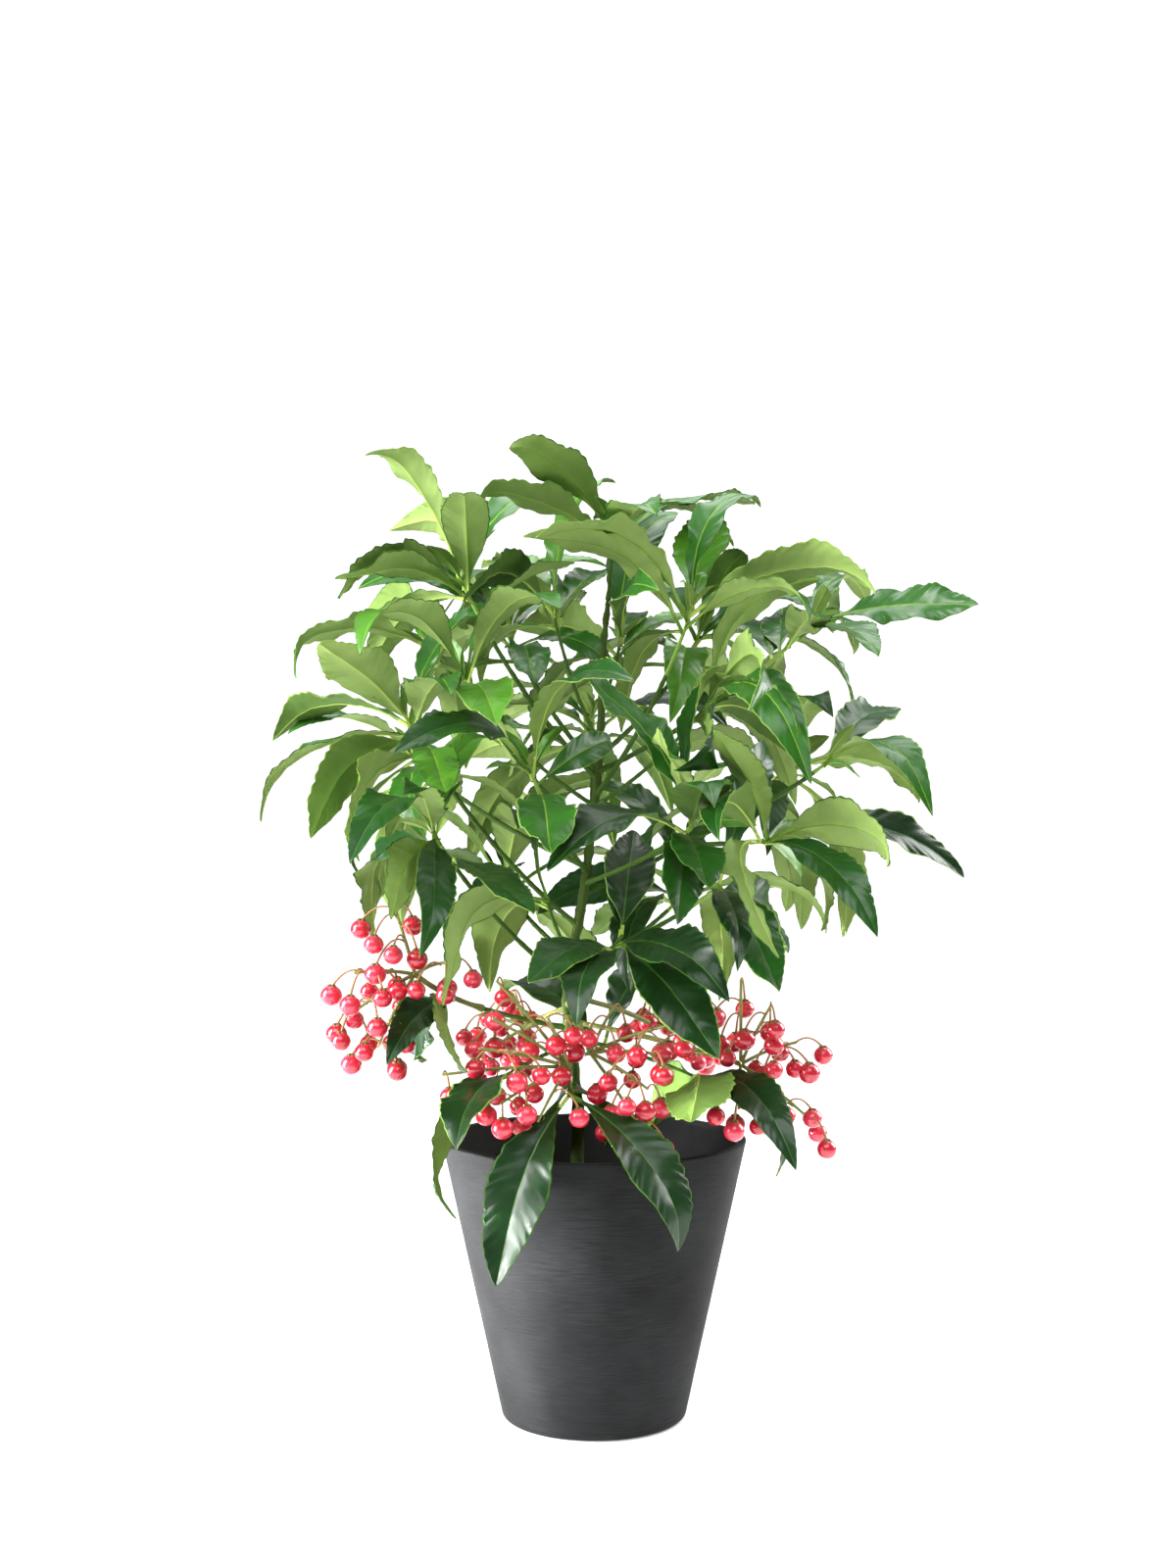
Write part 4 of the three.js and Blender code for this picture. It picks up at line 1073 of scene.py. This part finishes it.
def rounded_end(line, radii):
    """The line and radii with a rounded tip added."""
    way = unit(line[-1] - line[-2])
    turns = np.radians(TIP_TURNS)
    more = [line[-1] + way * radii[-1] * math.sin(t) for t in turns]
    return np.concatenate([line, more]), np.concatenate([radii, radii[-1] * np.cos(turns)])


def grow_trunk(heap):
    shares, line = bend_line(trunk_curve, 0, 1, TRUNK_RINGS)
    keep = line[:, 2] >= TRUNK_FOOT - SUNK
    shares, line = shares[keep], line[keep]
    radii = np.array([trunk_radius(s) for s in shares])
    radii = noded(radii, shares, TRUNK_SPAN, *TRUNK_SCARS)
    line, radii = rounded_end(line, radii)
    tube(heap, line, radii, TRUNK_SIDES, 0, bark)


def grow_bough(heap, shoot):
    curve = shoot_curve(foot_of(shoot), np.array(shoot["tip"], float))
    length = curve.length()
    end = 1 - shoot["stem"] / length
    boughs[shoot["name"]] = (curve, end)
    shares, line = limb_line(curve, 0, min(1, end + SUNK / length), BOUGH_STEP)
    radii = LEAN * (BOUGH_RADIUS + (BOUGH_TIP_RADIUS - BOUGH_RADIUS) * shares / end)
    radii = noded(radii, shares, length, *BOUGH_SCARS) + swelling(shares * length, *BOUGH_COLLAR)
    tube(heap, line, radii, BOUGH_SIDES, 1, green_bark)


def grow_stem(heap, shoot, stem):
    on_bough = shoot["name"] in boughs
    start = stem["start"] if on_bough else 0
    shares, line = limb_line(stem["curve"], start, 1, STEM_STEP)
    thinner = (STEM_TIP_RADIUS - BOUGH_TIP_RADIUS) * (shares - start) / (1 - start)
    radii = LEAN * (BOUGH_TIP_RADIUS + thinner)
    if not on_bough:
        radii = radii + swelling(shares * stem["length"], *STEM_COLLAR)
    radii = noded(radii, shares, stem["length"], *STEM_SCARS)
    line, radii = rounded_end(line, radii)
    tube(heap, line, radii, STEM_SIDES, 0 if on_bough else 1, green_bark)


def berry_stalk(heap, pedicel):
    """A thin stalk that widens into the small cup at its berry."""
    bend = Bend(pedicel["root"], pedicel["knee"], pedicel["hang"])
    t, line = bend_line(bend, 0, 1, STALK_RINGS)
    radii = STALK_RADIUS + swelling(t, *STALK_FOOT) + STALK_CUP * t ** 4
    tube(heap, line, radii, SPOKE_SIDES, 1)


def berry_cup(heap, pedicel):
    """Small sepals pressed on the top of a berry."""
    centre, radius = pedicel["centre"], pedicel["radius"]
    up = unit(pedicel["hang"] - centre)
    across = unit(np.cross(up, ACROSS))
    for i in range(SEPALS):
        out = about(across, up, math.radians(360 / SEPALS * i))
        ways = [unit(up * math.cos(a) + out * math.sin(a)) for a in SEPAL_ANGLES]
        line = [centre + way * (radius * SEPAL_SUNK) for way in ways]
        tube(heap, line, SEPAL_RADII, SEPAL_SIDES, 1)


def grow_spray(spray, wood, fruit, cups, points, rng):
    random = seeded(spray["seed"])
    knot = np.array(spray["knot"], float)
    curve = shoot_curve(foot_of(spray), knot)
    shares, line = bend_line(curve, 0, 1, PEDUNCLE_RINGS)
    radii = PEDUNCLE_RADIUS + swelling(shares * curve.length(), *SPRAY_COLLAR)
    line, radii = rounded_end(line, radii)
    tube(wood, line, radii, PEDUNCLE_SIDES, 0, green_bark)
    kept = []
    for turn, seen, forward, count in spray["spokes"]:
        angle = math.radians(turn)
        end = knot + np.array([seen * math.cos(angle), -forward, seen * math.sin(angle)])
        t = np.linspace(0, 1, SPOKE_RINGS)
        arched = knot + (end - knot) * t[:, None] + UP * (np.sin(np.pi * t) * SPOKE_ARCH)[:, None]
        line, radii = rounded_end(arched, SPOKE_RADIUS * (1 - SPOKE_TAPER * t))
        tube(wood, line, radii, SPOKE_SIDES, 0, green_bark)
        for i in range(count):
            pedicel = pedicel_of([knot, end], 1 - SPOKE_BARE * i / count, i * GOLDEN_ANGLE, random)
            off = np.linalg.norm(points - pedicel["centre"], axis=1) - pedicel["radius"]
            if (abs(off) < BERRY_FOUND).sum() >= BERRY_POINTS:
                kept.append(pedicel)
        more = count - 1 if spray["name"] in SPARSE_SPRAYS else count
        kept += more_berries(knot, end, more, kept, rng)
    for pedicel in kept:
        berry_stalk(wood, pedicel)
        slots = [int(rng.integers(0, len(BERRY_REDS))), len(BERRY_REDS)]
        down = pedicel["centre"] - pedicel["hang"]
        ball(fruit, pedicel["centre"], pedicel["radius"] * BERRY_SWOLLEN, down, slots)
        berry_cup(cups, pedicel)


def more_berries(knot, end, count, kept, rng):
    """The berries that hang between those of the source, each clear of the rest."""
    grown = []
    for _ in range(MORE_TRIES):
        if len(grown) >= count:
            break
        pedicel = pedicel_of([knot, end], rng.uniform(MORE_FROM, 1), 360 * rng.random(), rng.random)
        centre, radius = pedicel["centre"], pedicel["radius"]
        clear = all(
            np.linalg.norm(other["centre"] - centre) > other["radius"] + radius + BERRY_CLEAR
            for other in kept + grown
        )
        if clear and not near_leaf(centre, radius):
            grown.append(pedicel)
    return grown


def near_leaf(place, radius):
    return bool((np.linalg.norm(leaf_cloud - place, axis=1) < radius + LEAF_CLEAR).any())


# Pot and soil
def outer_radius(height):
    return BASE_RADIUS + (RIM_RADIUS - BASE_RADIUS) * height / POT_HEIGHT


def corner(middle, radius, start, end):
    """Points round a corner between two angles in degrees."""
    angles = np.radians(np.linspace(start, end, CORNER_STEPS))
    return [[middle[0] + radius * math.cos(a), middle[1] + radius * math.sin(a)] for a in angles]


def straight(a, b, steps):
    return [[a[0] + (b[0] - a[0]) * i / steps, a[1] + (b[1] - a[1]) * i / steps] for i in range(1, steps)]


def turned(heap, profile, slots):
    """A closed round body from a profile that starts and ends on the axis."""
    rings = np.array(profile[1:-1])
    ways = level_ways(POT_SIDES)
    points = (ways[None] * rings[:, :1, None] + UP * rings[:, 1][:, None, None]).reshape(-1, 3)
    points = np.concatenate([points, [[0, 0, profile[0][1]], [0, 0, profile[-1][1]]]])
    tints = [np.repeat(slots, POT_SIDES), np.repeat([slots[0], slots[-1]], POT_SIDES)]
    heap.add(points, body_faces(len(rings), POT_SIDES), tints)


def make_pot():
    slope = math.degrees(math.atan2(RIM_RADIUS - BASE_RADIUS, POT_HEIGHT))
    inner = outer_radius(POT_HEIGHT) - WALL
    foot = BASE_RADIUS - BASE_ROUND + FOOT_WIDER
    profile = [[0, 0]]
    profile += [[r, 0] for r in (*UNDERSIDE_RINGS, foot)]
    profile += corner([foot, BASE_ROUND], BASE_ROUND, FOOT_ANGLE, -slope)
    low = profile[-1]
    lip = corner([RIM_RADIUS - LIP_ROUND * LIP_INSET, POT_HEIGHT - LIP_ROUND], LIP_ROUND, -slope, 90)
    profile += straight(low, lip[0], OUTER_RINGS) + lip
    outside = len(profile) - 1
    inside_lip = corner([inner + LIP_ROUND, POT_HEIGHT - LIP_ROUND], LIP_ROUND, 90, 180 - slope)
    floor = [outer_radius(FLOOR_THICKNESS) - WALL, FLOOR_THICKNESS]
    profile += inside_lip + straight(inside_lip[-1], floor, INNER_RINGS)
    profile += [[r, FLOOR_THICKNESS] for r in (floor[0], UNDERSIDE_RINGS[0], 0)]
    spans = len(profile) - 3
    heap = Heap()
    turned(heap, profile, [0 if i < outside - 2 else 1 for i in range(spans)])
    heap.piece("pot_body", [POT_OUTSIDE, POT_INSIDE], ["pot"], "pot")


# The soil's uneven surface: its grain, its lumps and its finest grain, how high each of them stands, and
# the rings from which it is made
GRAIN = wave_of(seed=21, size=2.6)
LUMP = wave_of(seed=22, size=14)
FINE = wave_of(seed=23, size=1.3)
GRAIN_HEIGHT = 0.7
LUMP_HEIGHT = 1.0
FINE_HEIGHT = 0.35
SOIL_LOWER = 2.2
MIDDLE_LOWER = 2
MIDDLE_RADIUS = 1.2
INNER_RADIUS = 4
BASE_RING = 30
SOIL_RINGS = 64
SOIL_SIDES = 220

# Crumbs and chips that lie on it
CRUMBS = 520
CRUMB_SEED = 5
CRUMB_CLEAR = 3
CRUMB_SPREAD = [0.02, 1]
CRUMB_SIZE = [0.7, 2.2]
CRUMB_SUNK = 1.9
CRUMB_RISE = 0.3
CRUMB_SHAPE = [[0.7, 1.7], [0.6, 1.0], [0.35, 0.8]]
CRUMB_UNEVEN = [0.78, 1.2]
CRUMB_TOP = 1.5
CRUMB_ROWS = 4
CRUMB_SIDES = 7
CRUMB_KINDS = [0.45, 0.4, 0.15]


def make_soil():
    low = FLOOR_THICKNESS + GAP
    edge = outer_radius(SOIL_TOP) - WALL - GAP
    radii = np.concatenate([np.linspace(edge, INNER_RADIUS, SOIL_RINGS), [MIDDLE_RADIUS]])
    ways = level_ways(SOIL_SIDES)
    top = ways[None] * radii[:, None, None] + UP * (SOIL_TOP - SOIL_LOWER)
    heights = GRAIN_HEIGHT * GRAIN(top) + LUMP_HEIGHT * LUMP(top) + FINE_HEIGHT * FINE(top)
    top[..., 2] += heights
    base_radii = np.array([MIDDLE_RADIUS, BASE_RING, outer_radius(low) - WALL - GAP])
    base = ways[None] * base_radii[:, None, None] + UP * low
    middles = [[0, 0, low], [0, 0, SOIL_TOP - MIDDLE_LOWER]]
    points = np.concatenate([base.reshape(-1, 3), top.reshape(-1, 3), middles])
    heap = Heap()
    heap.add(points, body_faces(len(base_radii) + len(radii), SOIL_SIDES), [0, 0])
    rng = np.random.default_rng(CRUMB_SEED)
    for _ in range(CRUMBS):
        angle = rng.uniform(0, TURN)
        reach = (edge - CRUMB_CLEAR) * math.sqrt(rng.uniform(*CRUMB_SPREAD))
        size = rng.uniform(*CRUMB_SIZE)
        height = SOIL_TOP - CRUMB_SUNK + CRUMB_RISE * size
        crumb(heap, np.array([reach * math.cos(angle), reach * math.sin(angle), height]), size, rng)
    heap.piece("soil_top", [SOIL, CRUMB, BARK_CHIP], ["soil"], "soil")


def crumb(heap, place, size, rng):
    """A lump of soil or a chip of bark."""
    ways = rng.normal(size=(3, 3))
    one = unit(ways[0])
    two = unit(np.cross(one, ways[1]))
    three = np.cross(one, two)
    shape = size * np.array([rng.uniform(*bounds) for bounds in CRUMB_SHAPE])
    polar = np.pi * np.arange(1, CRUMB_ROWS) / CRUMB_ROWS
    angles = TURN * np.arange(CRUMB_SIDES) / CRUMB_SIDES
    a = np.cos(polar)[:, None] * np.ones(CRUMB_SIDES)
    b = np.sin(polar)[:, None] * np.cos(angles)
    c = np.sin(polar)[:, None] * np.sin(angles)
    ring = a[..., None] * one * shape[0] + b[..., None] * two * shape[1] + c[..., None] * three * shape[2]
    ring = ring * rng.uniform(*CRUMB_UNEVEN, ring.shape[:2])[..., None]
    points = np.concatenate([ring.reshape(-1, 3), [one * shape[0], -one * shape[0]]]) + place
    points[:, 2] = np.minimum(points[:, 2], SOIL_TOP + CRUMB_TOP)
    quads, fans = body_faces(CRUMB_ROWS - 1, CRUMB_SIDES)
    slot = int(rng.choice(len(CRUMB_KINDS), p=CRUMB_KINDS))
    heap.add(points, [quads[:, ::-1], fans[:, [0, 2, 1]]], [slot, slot])


# Finishes
def linear(colour):
    """A screen colour of 0 to 255 a channel as linear light."""
    c = np.array(colour) / 255
    return [float(v) for v in np.where(c <= 0.04045, c / 12.92, ((c + 0.055) / 1.055) ** 2.4)] + [1.0]


# How fine the noises of a finish are, how deep its grain goes in metres, and where clouds start and end
COLOUR_DETAIL = 3.0
GRAIN_DETAIL = 4.0
GRAIN_DEPTH = 0.0004
CLOUD_DETAIL = 2.0
CLOUD_BOUNDS = [0.3, 0.7]


def set_inputs(node, inputs):
    for name, value in inputs.items():
        node.inputs[name.replace("_", " ")].default_value = value


def node_in(material, kind, vector=None, **inputs):
    """A shader node with its inputs set, and its vector linked where one is given."""
    tree = material.node_tree
    made = tree.nodes.new("ShaderNode" + kind)
    set_inputs(made, inputs)
    if vector is not None:
        tree.links.new(vector, made.inputs["Vector"])
    return made


def finish(name, colour, rough, vary=0.12, size=18.0, bump=0.0, bump_size=300.0, stretch=(1, 1, 1), **more):
    """A plain finish whose colour wanders a little, with a fine seeded grain where bump is given. Its
    noises have about this many lumps to a metre, times stretch along each axis."""
    made = bpy.data.materials.new(name)
    made.use_nodes = True
    link = made.node_tree.links.new
    shader = made.node_tree.nodes["Principled BSDF"]
    set_inputs(shader, dict(Roughness=rough, **more))
    place = node_in(made, "TexCoord").outputs["Object"]
    stretched = node_in(made, "Mapping", place, Scale=stretch).outputs["Vector"]
    noise = node_in(made, "TexNoise", stretched, Scale=size, Detail=COLOUR_DETAIL)
    mix = node_in(made, "Mix")
    mix.data_type = "RGBA"
    base = np.array(linear(colour))
    for socket, share in (("A", 1 - vary), ("B", 1 + vary)):
        mix.inputs[socket].default_value = list(np.clip(base * share, 0, 1)[:3]) + [1.0]
    link(noise.outputs["Fac"], mix.inputs["Factor"])
    link(mix.outputs["Result"], shader.inputs["Base Color"])
    if bump:
        grain = node_in(made, "TexNoise", stretched, Scale=bump_size, Detail=GRAIN_DETAIL)
        bumped = node_in(made, "Bump", Strength=bump, Distance=GRAIN_DEPTH)
        link(grain.outputs["Fac"], bumped.inputs["Height"])
        link(bumped.outputs["Normal"], shader.inputs["Normal"])
    return made


def clouded(made, size, depth):
    """Lets broad soft patches darken and lighten a finish on top of its fine grain."""
    link = made.node_tree.links.new
    colour = made.node_tree.nodes["Principled BSDF"].inputs["Base Color"]
    grained = colour.links[0].from_socket
    place = node_in(made, "TexCoord").outputs["Object"]
    cloud = node_in(made, "TexNoise", place, Scale=size, Detail=CLOUD_DETAIL)
    low, high = CLOUD_BOUNDS
    shade = node_in(made, "MapRange", From_Min=low, From_Max=high, To_Min=1 - depth, To_Max=1 + depth)
    link(cloud.outputs["Fac"], shade.inputs["Value"])
    scaled = node_in(made, "VectorMath")
    scaled.operation = "SCALE"
    link(grained, scaled.inputs[0])
    link(shade.outputs["Result"], scaled.inputs["Scale"])
    link(scaled.outputs["Vector"], colour)


# The pale margin colour stands partly for the edge's own paler line and partly for painted highlight where
# light catches the leaf's edge.
LEAF_COLOURS = dict(
    upper_deep=(12, 46, 12), upper_dark=(21, 68, 15), upper_mid=(38, 92, 22),
    upper_fresh=(70, 124, 32), under_pale=(138, 163, 90), under_bright=(124, 151, 76),
    under_mid=(104, 133, 62), under_deep=(84, 114, 50), rib_pale=(176, 200, 92),
    rib_green=(112, 150, 50), rib_dark=(58, 96, 34), margin_pale_highlight=(124, 156, 70),
    margin_green=(60, 98, 34),
)
GLOSSY = dict(rough=0.33, bump=0.14, Specular_IOR_Level=0.4)
MATT = dict(rough=0.55, bump=0.2, Specular_IOR_Level=0.1)
leaf_finishes = []
for slot_name in LEAF_SLOTS:
    kind = GLOSSY if slot_name.startswith("upper") or slot_name == "rib_dark" else MATT
    leaf_finishes.append(
        finish(slot_name, LEAF_COLOURS[slot_name], vary=0.18, size=110, bump_size=420, **kind)
    )
TWIG_GREEN = finish("twig_green", (126, 162, 58), rough=0.5, vary=0.15, size=90, bump=0.3,
                    stretch=(1, 1, 0.3))
STEM_GREEN = finish("stem_green", (60, 90, 26), rough=0.6, vary=0.25, size=80, bump=0.4, stretch=(1, 1, 0.3),
                    Specular_IOR_Level=0.2)
TRUNK_BARK = finish("trunk_bark", (62, 82, 30), rough=0.75, vary=0.35, size=120, bump=0.7,
                    stretch=(1, 1, 0.35), Specular_IOR_Level=0.2)
STALK = finish("stalk", (128, 132, 62), rough=0.55, vary=0.2, size=90, bump=0.2)
PEDICEL = finish("berry_stalk", (160, 116, 72), rough=0.5, vary=0.2, size=90)
CUP = finish("berry_cup", (112, 92, 48), rough=0.6, vary=0.2, size=200)
BERRY_REDS = dict(berry_red=(212, 24, 54), berry_deep=(190, 14, 44), berry_light=(224, 46, 74))
BERRY = [
    finish(name, red, rough=0.3, vary=0.08, size=70, Coat_Weight=1.0, Coat_Roughness=0.06)
    for name, red in BERRY_REDS.items()
]
BERRY.append(finish("berry_end", (92, 34, 24), rough=0.5, vary=0.2, size=200))
POT_OUTSIDE = finish("pot_outside", (28, 29, 30), rough=0.62, vary=0.9, size=95, bump=0.6, bump_size=120,
                     stretch=(1, 1, 22), Specular_IOR_Level=0.12)
clouded(POT_OUTSIDE, size=22, depth=0.45)
POT_INSIDE = finish("pot_inside", (38, 38, 40), rough=0.85, vary=0.25, size=80, bump=0.4, bump_size=900,
                    Specular_IOR_Level=0.1)
SOIL = finish("soil_dark", (52, 38, 26), rough=0.95, vary=0.4, size=160, bump=1.0, bump_size=900)
CRUMB = finish("soil_crumb", (78, 56, 38), rough=0.95, vary=0.4, size=160, bump=1.0, bump_size=900)
BARK_CHIP = finish("soil_chip", (108, 80, 54), rough=0.9, vary=0.3, size=160, bump=1.0, bump_size=700)
FLOOR = finish("floor", (236, 236, 236), rough=0.9, vary=0.01, size=2, Emission_Color=(1, 1, 1, 1),
               Emission_Strength=0.25)
BACKDROP = finish("backdrop", (240, 240, 240), rough=0.9, vary=0.01, size=2, Emission_Color=(1, 1, 1, 1),
                  Emission_Strength=1.0)

# The plant
FOLIAGE_PIECES = "abcdef"
OWN_HEIGHT = 0.4
LEAF_SEED = 100
SPRAY_SEED = 300
wood, twigs, stalks, fruit, cups = [Heap() for _ in range(5)]
grow_trunk(wood)
for shoot in SHOOTS:
    if "stem" in shoot:
        grow_bough(wood, shoot)

foliage = [Heap() for _ in FOLIAGE_PIECES]
owners = [[] for _ in foliage]
for index, shoot in enumerate(SHOOTS):
    stem = stem_of(shoot)
    points = node_points("leaves_" + shoot["name"])
    random = seeded(shoot["seed"])
    leaves = shown_leaves(shoot, stem, points, random) + fill_leaves(shoot, stem, points, random)
    leaves = [leaf for leaf in leaves if leaf]
    rng = np.random.default_rng(LEAF_SEED + index)
    grow_stem(twigs, shoot, stem)
    heap_at = min(range(len(foliage)), key=lambda i: foliage[i].triangles)
    heap = foliage[heap_at]
    owners[heap_at].append("leaves_" + shoot["name"])
    for leaf in leaves:
        middle = leaf["base"] + leaf["along"] * leaf["length"] * 0.5
        height = shoot["tip"][2] + OWN_HEIGHT * (middle - shoot["tip"])[2]
        leaf_body(heap, dressed(leaf, rng), tints_for(height, rng))
    if shoot["tip"][2] > YOUNG_ABOVE:
        for leaf in young_leaves(stem, rng):
            leaf_body(heap, leaf, tints_for(0, rng, young=True), pairs=YOUNG_VEINS)

leaf_cloud = np.concatenate([np.concatenate(heap.points) for heap in foliage])
for index, spray in enumerate(SPRAYS):
    rng = np.random.default_rng(SPRAY_SEED + index)
    grow_spray(spray, stalks, fruit, cups, node_points(spray["name"]), rng)

limbs = ["trunk"] + ["bough_" + shoot["name"] for shoot in SHOOTS if "stem" in shoot]
masses = ["leaves_" + shoot["name"] for shoot in SHOOTS]
sprays = [spray["name"] for spray in SPRAYS]
for letter, heap, nodes in zip(FOLIAGE_PIECES, foliage, owners):
    heap.piece("foliage_" + letter, leaf_finishes, nodes, "leaf")
wood.piece("trunk_and_boughs", [TRUNK_BARK, STEM_GREEN], limbs, "trunk")
twigs.piece("twigs", [TWIG_GREEN, STEM_GREEN], masses, "bough")
stalks.piece("fruit_stalks", [STALK, PEDICEL], sprays, "fruit")
fruit.piece("berries", BERRY, sprays, "fruit")
cups.piece("berry_cups", [STALK, CUP], sprays, "fruit")
make_pot()
make_soil()

# Floor, light and camera
FLOOR_RADIUS = 1.3
BACKDROP_RADIUS = 14
SKY_STRENGTH = 0.22
LENS = 48.15
SENSOR_WIDTH = 36
bpy.ops.mesh.primitive_circle_add(vertices=96, radius=FLOOR_RADIUS, fill_type="NGON")
floor = bpy.context.object
floor.name = "studio_floor"
floor.data.materials.append(FLOOR)
bpy.ops.mesh.primitive_uv_sphere_add(segments=48, ring_count=24, radius=BACKDROP_RADIUS)
backdrop = bpy.context.object
backdrop.name = "studio_backdrop"
backdrop.data.materials.append(BACKDROP)
backdrop.visible_diffuse = False
backdrop.visible_glossy = False
backdrop.visible_shadow = False

world = bpy.data.worlds.new("studio")
bpy.context.scene.world = world
world.use_nodes = True
set_inputs(world.node_tree.nodes["Background"], dict(Color=(1, 1, 1, 1), Strength=SKY_STRENGTH))


def lamp(name, place, aim, power, size, spread=180):
    """A soft square light: places and size in metres, power in watts, spread in degrees."""
    light = bpy.data.lights.new(name, "AREA")
    light.spread = math.radians(spread)
    light.energy = power
    light.shape = "RECTANGLE"
    light.size, light.size_y = size
    made = bpy.data.objects.new(name, light)
    made.location = place
    way = Vector(aim) - Vector(place)
    made.rotation_euler = way.to_track_quat("-Z", "Y").to_euler()
    bpy.context.scene.collection.objects.link(made)


lamp("light_left", place=(-1.6, -0.45, 0.9), aim=(0, 0, 0.26), power=76, size=(0.9, 1.3))
lamp("light_right", place=(1.3, 0.5, 0.9), aim=(0, 0, 0.3), power=32, size=(0.9, 1.1))
lamp("light_front", place=(-0.25, -1.1, 1.7), aim=(0, 0, 0.3), power=30, size=(1.7, 1.2))
lamp("light_low", place=(-0.9, -0.15, 0.1), aim=(0, 0, 0.08), power=0.9, size=(0.12, 0.12), spread=20)
lamp("light_top", place=(0.1, 0.6, 1.7), aim=(0, 0, 0.3), power=26, size=(1.6, 1.2))

camera_data = bpy.data.cameras.new("camera")
camera_data.sensor_width = SENSOR_WIDTH
camera_data.lens = LENS
camera = bpy.data.objects.new("camera", camera_data)
camera.location = EYE * MM
camera.rotation_euler = (math.pi / 2, 0, 0)
bpy.context.scene.collection.objects.link(camera)
bpy.context.scene.camera = camera
bpy.context.scene.view_settings.view_transform = "Standard"
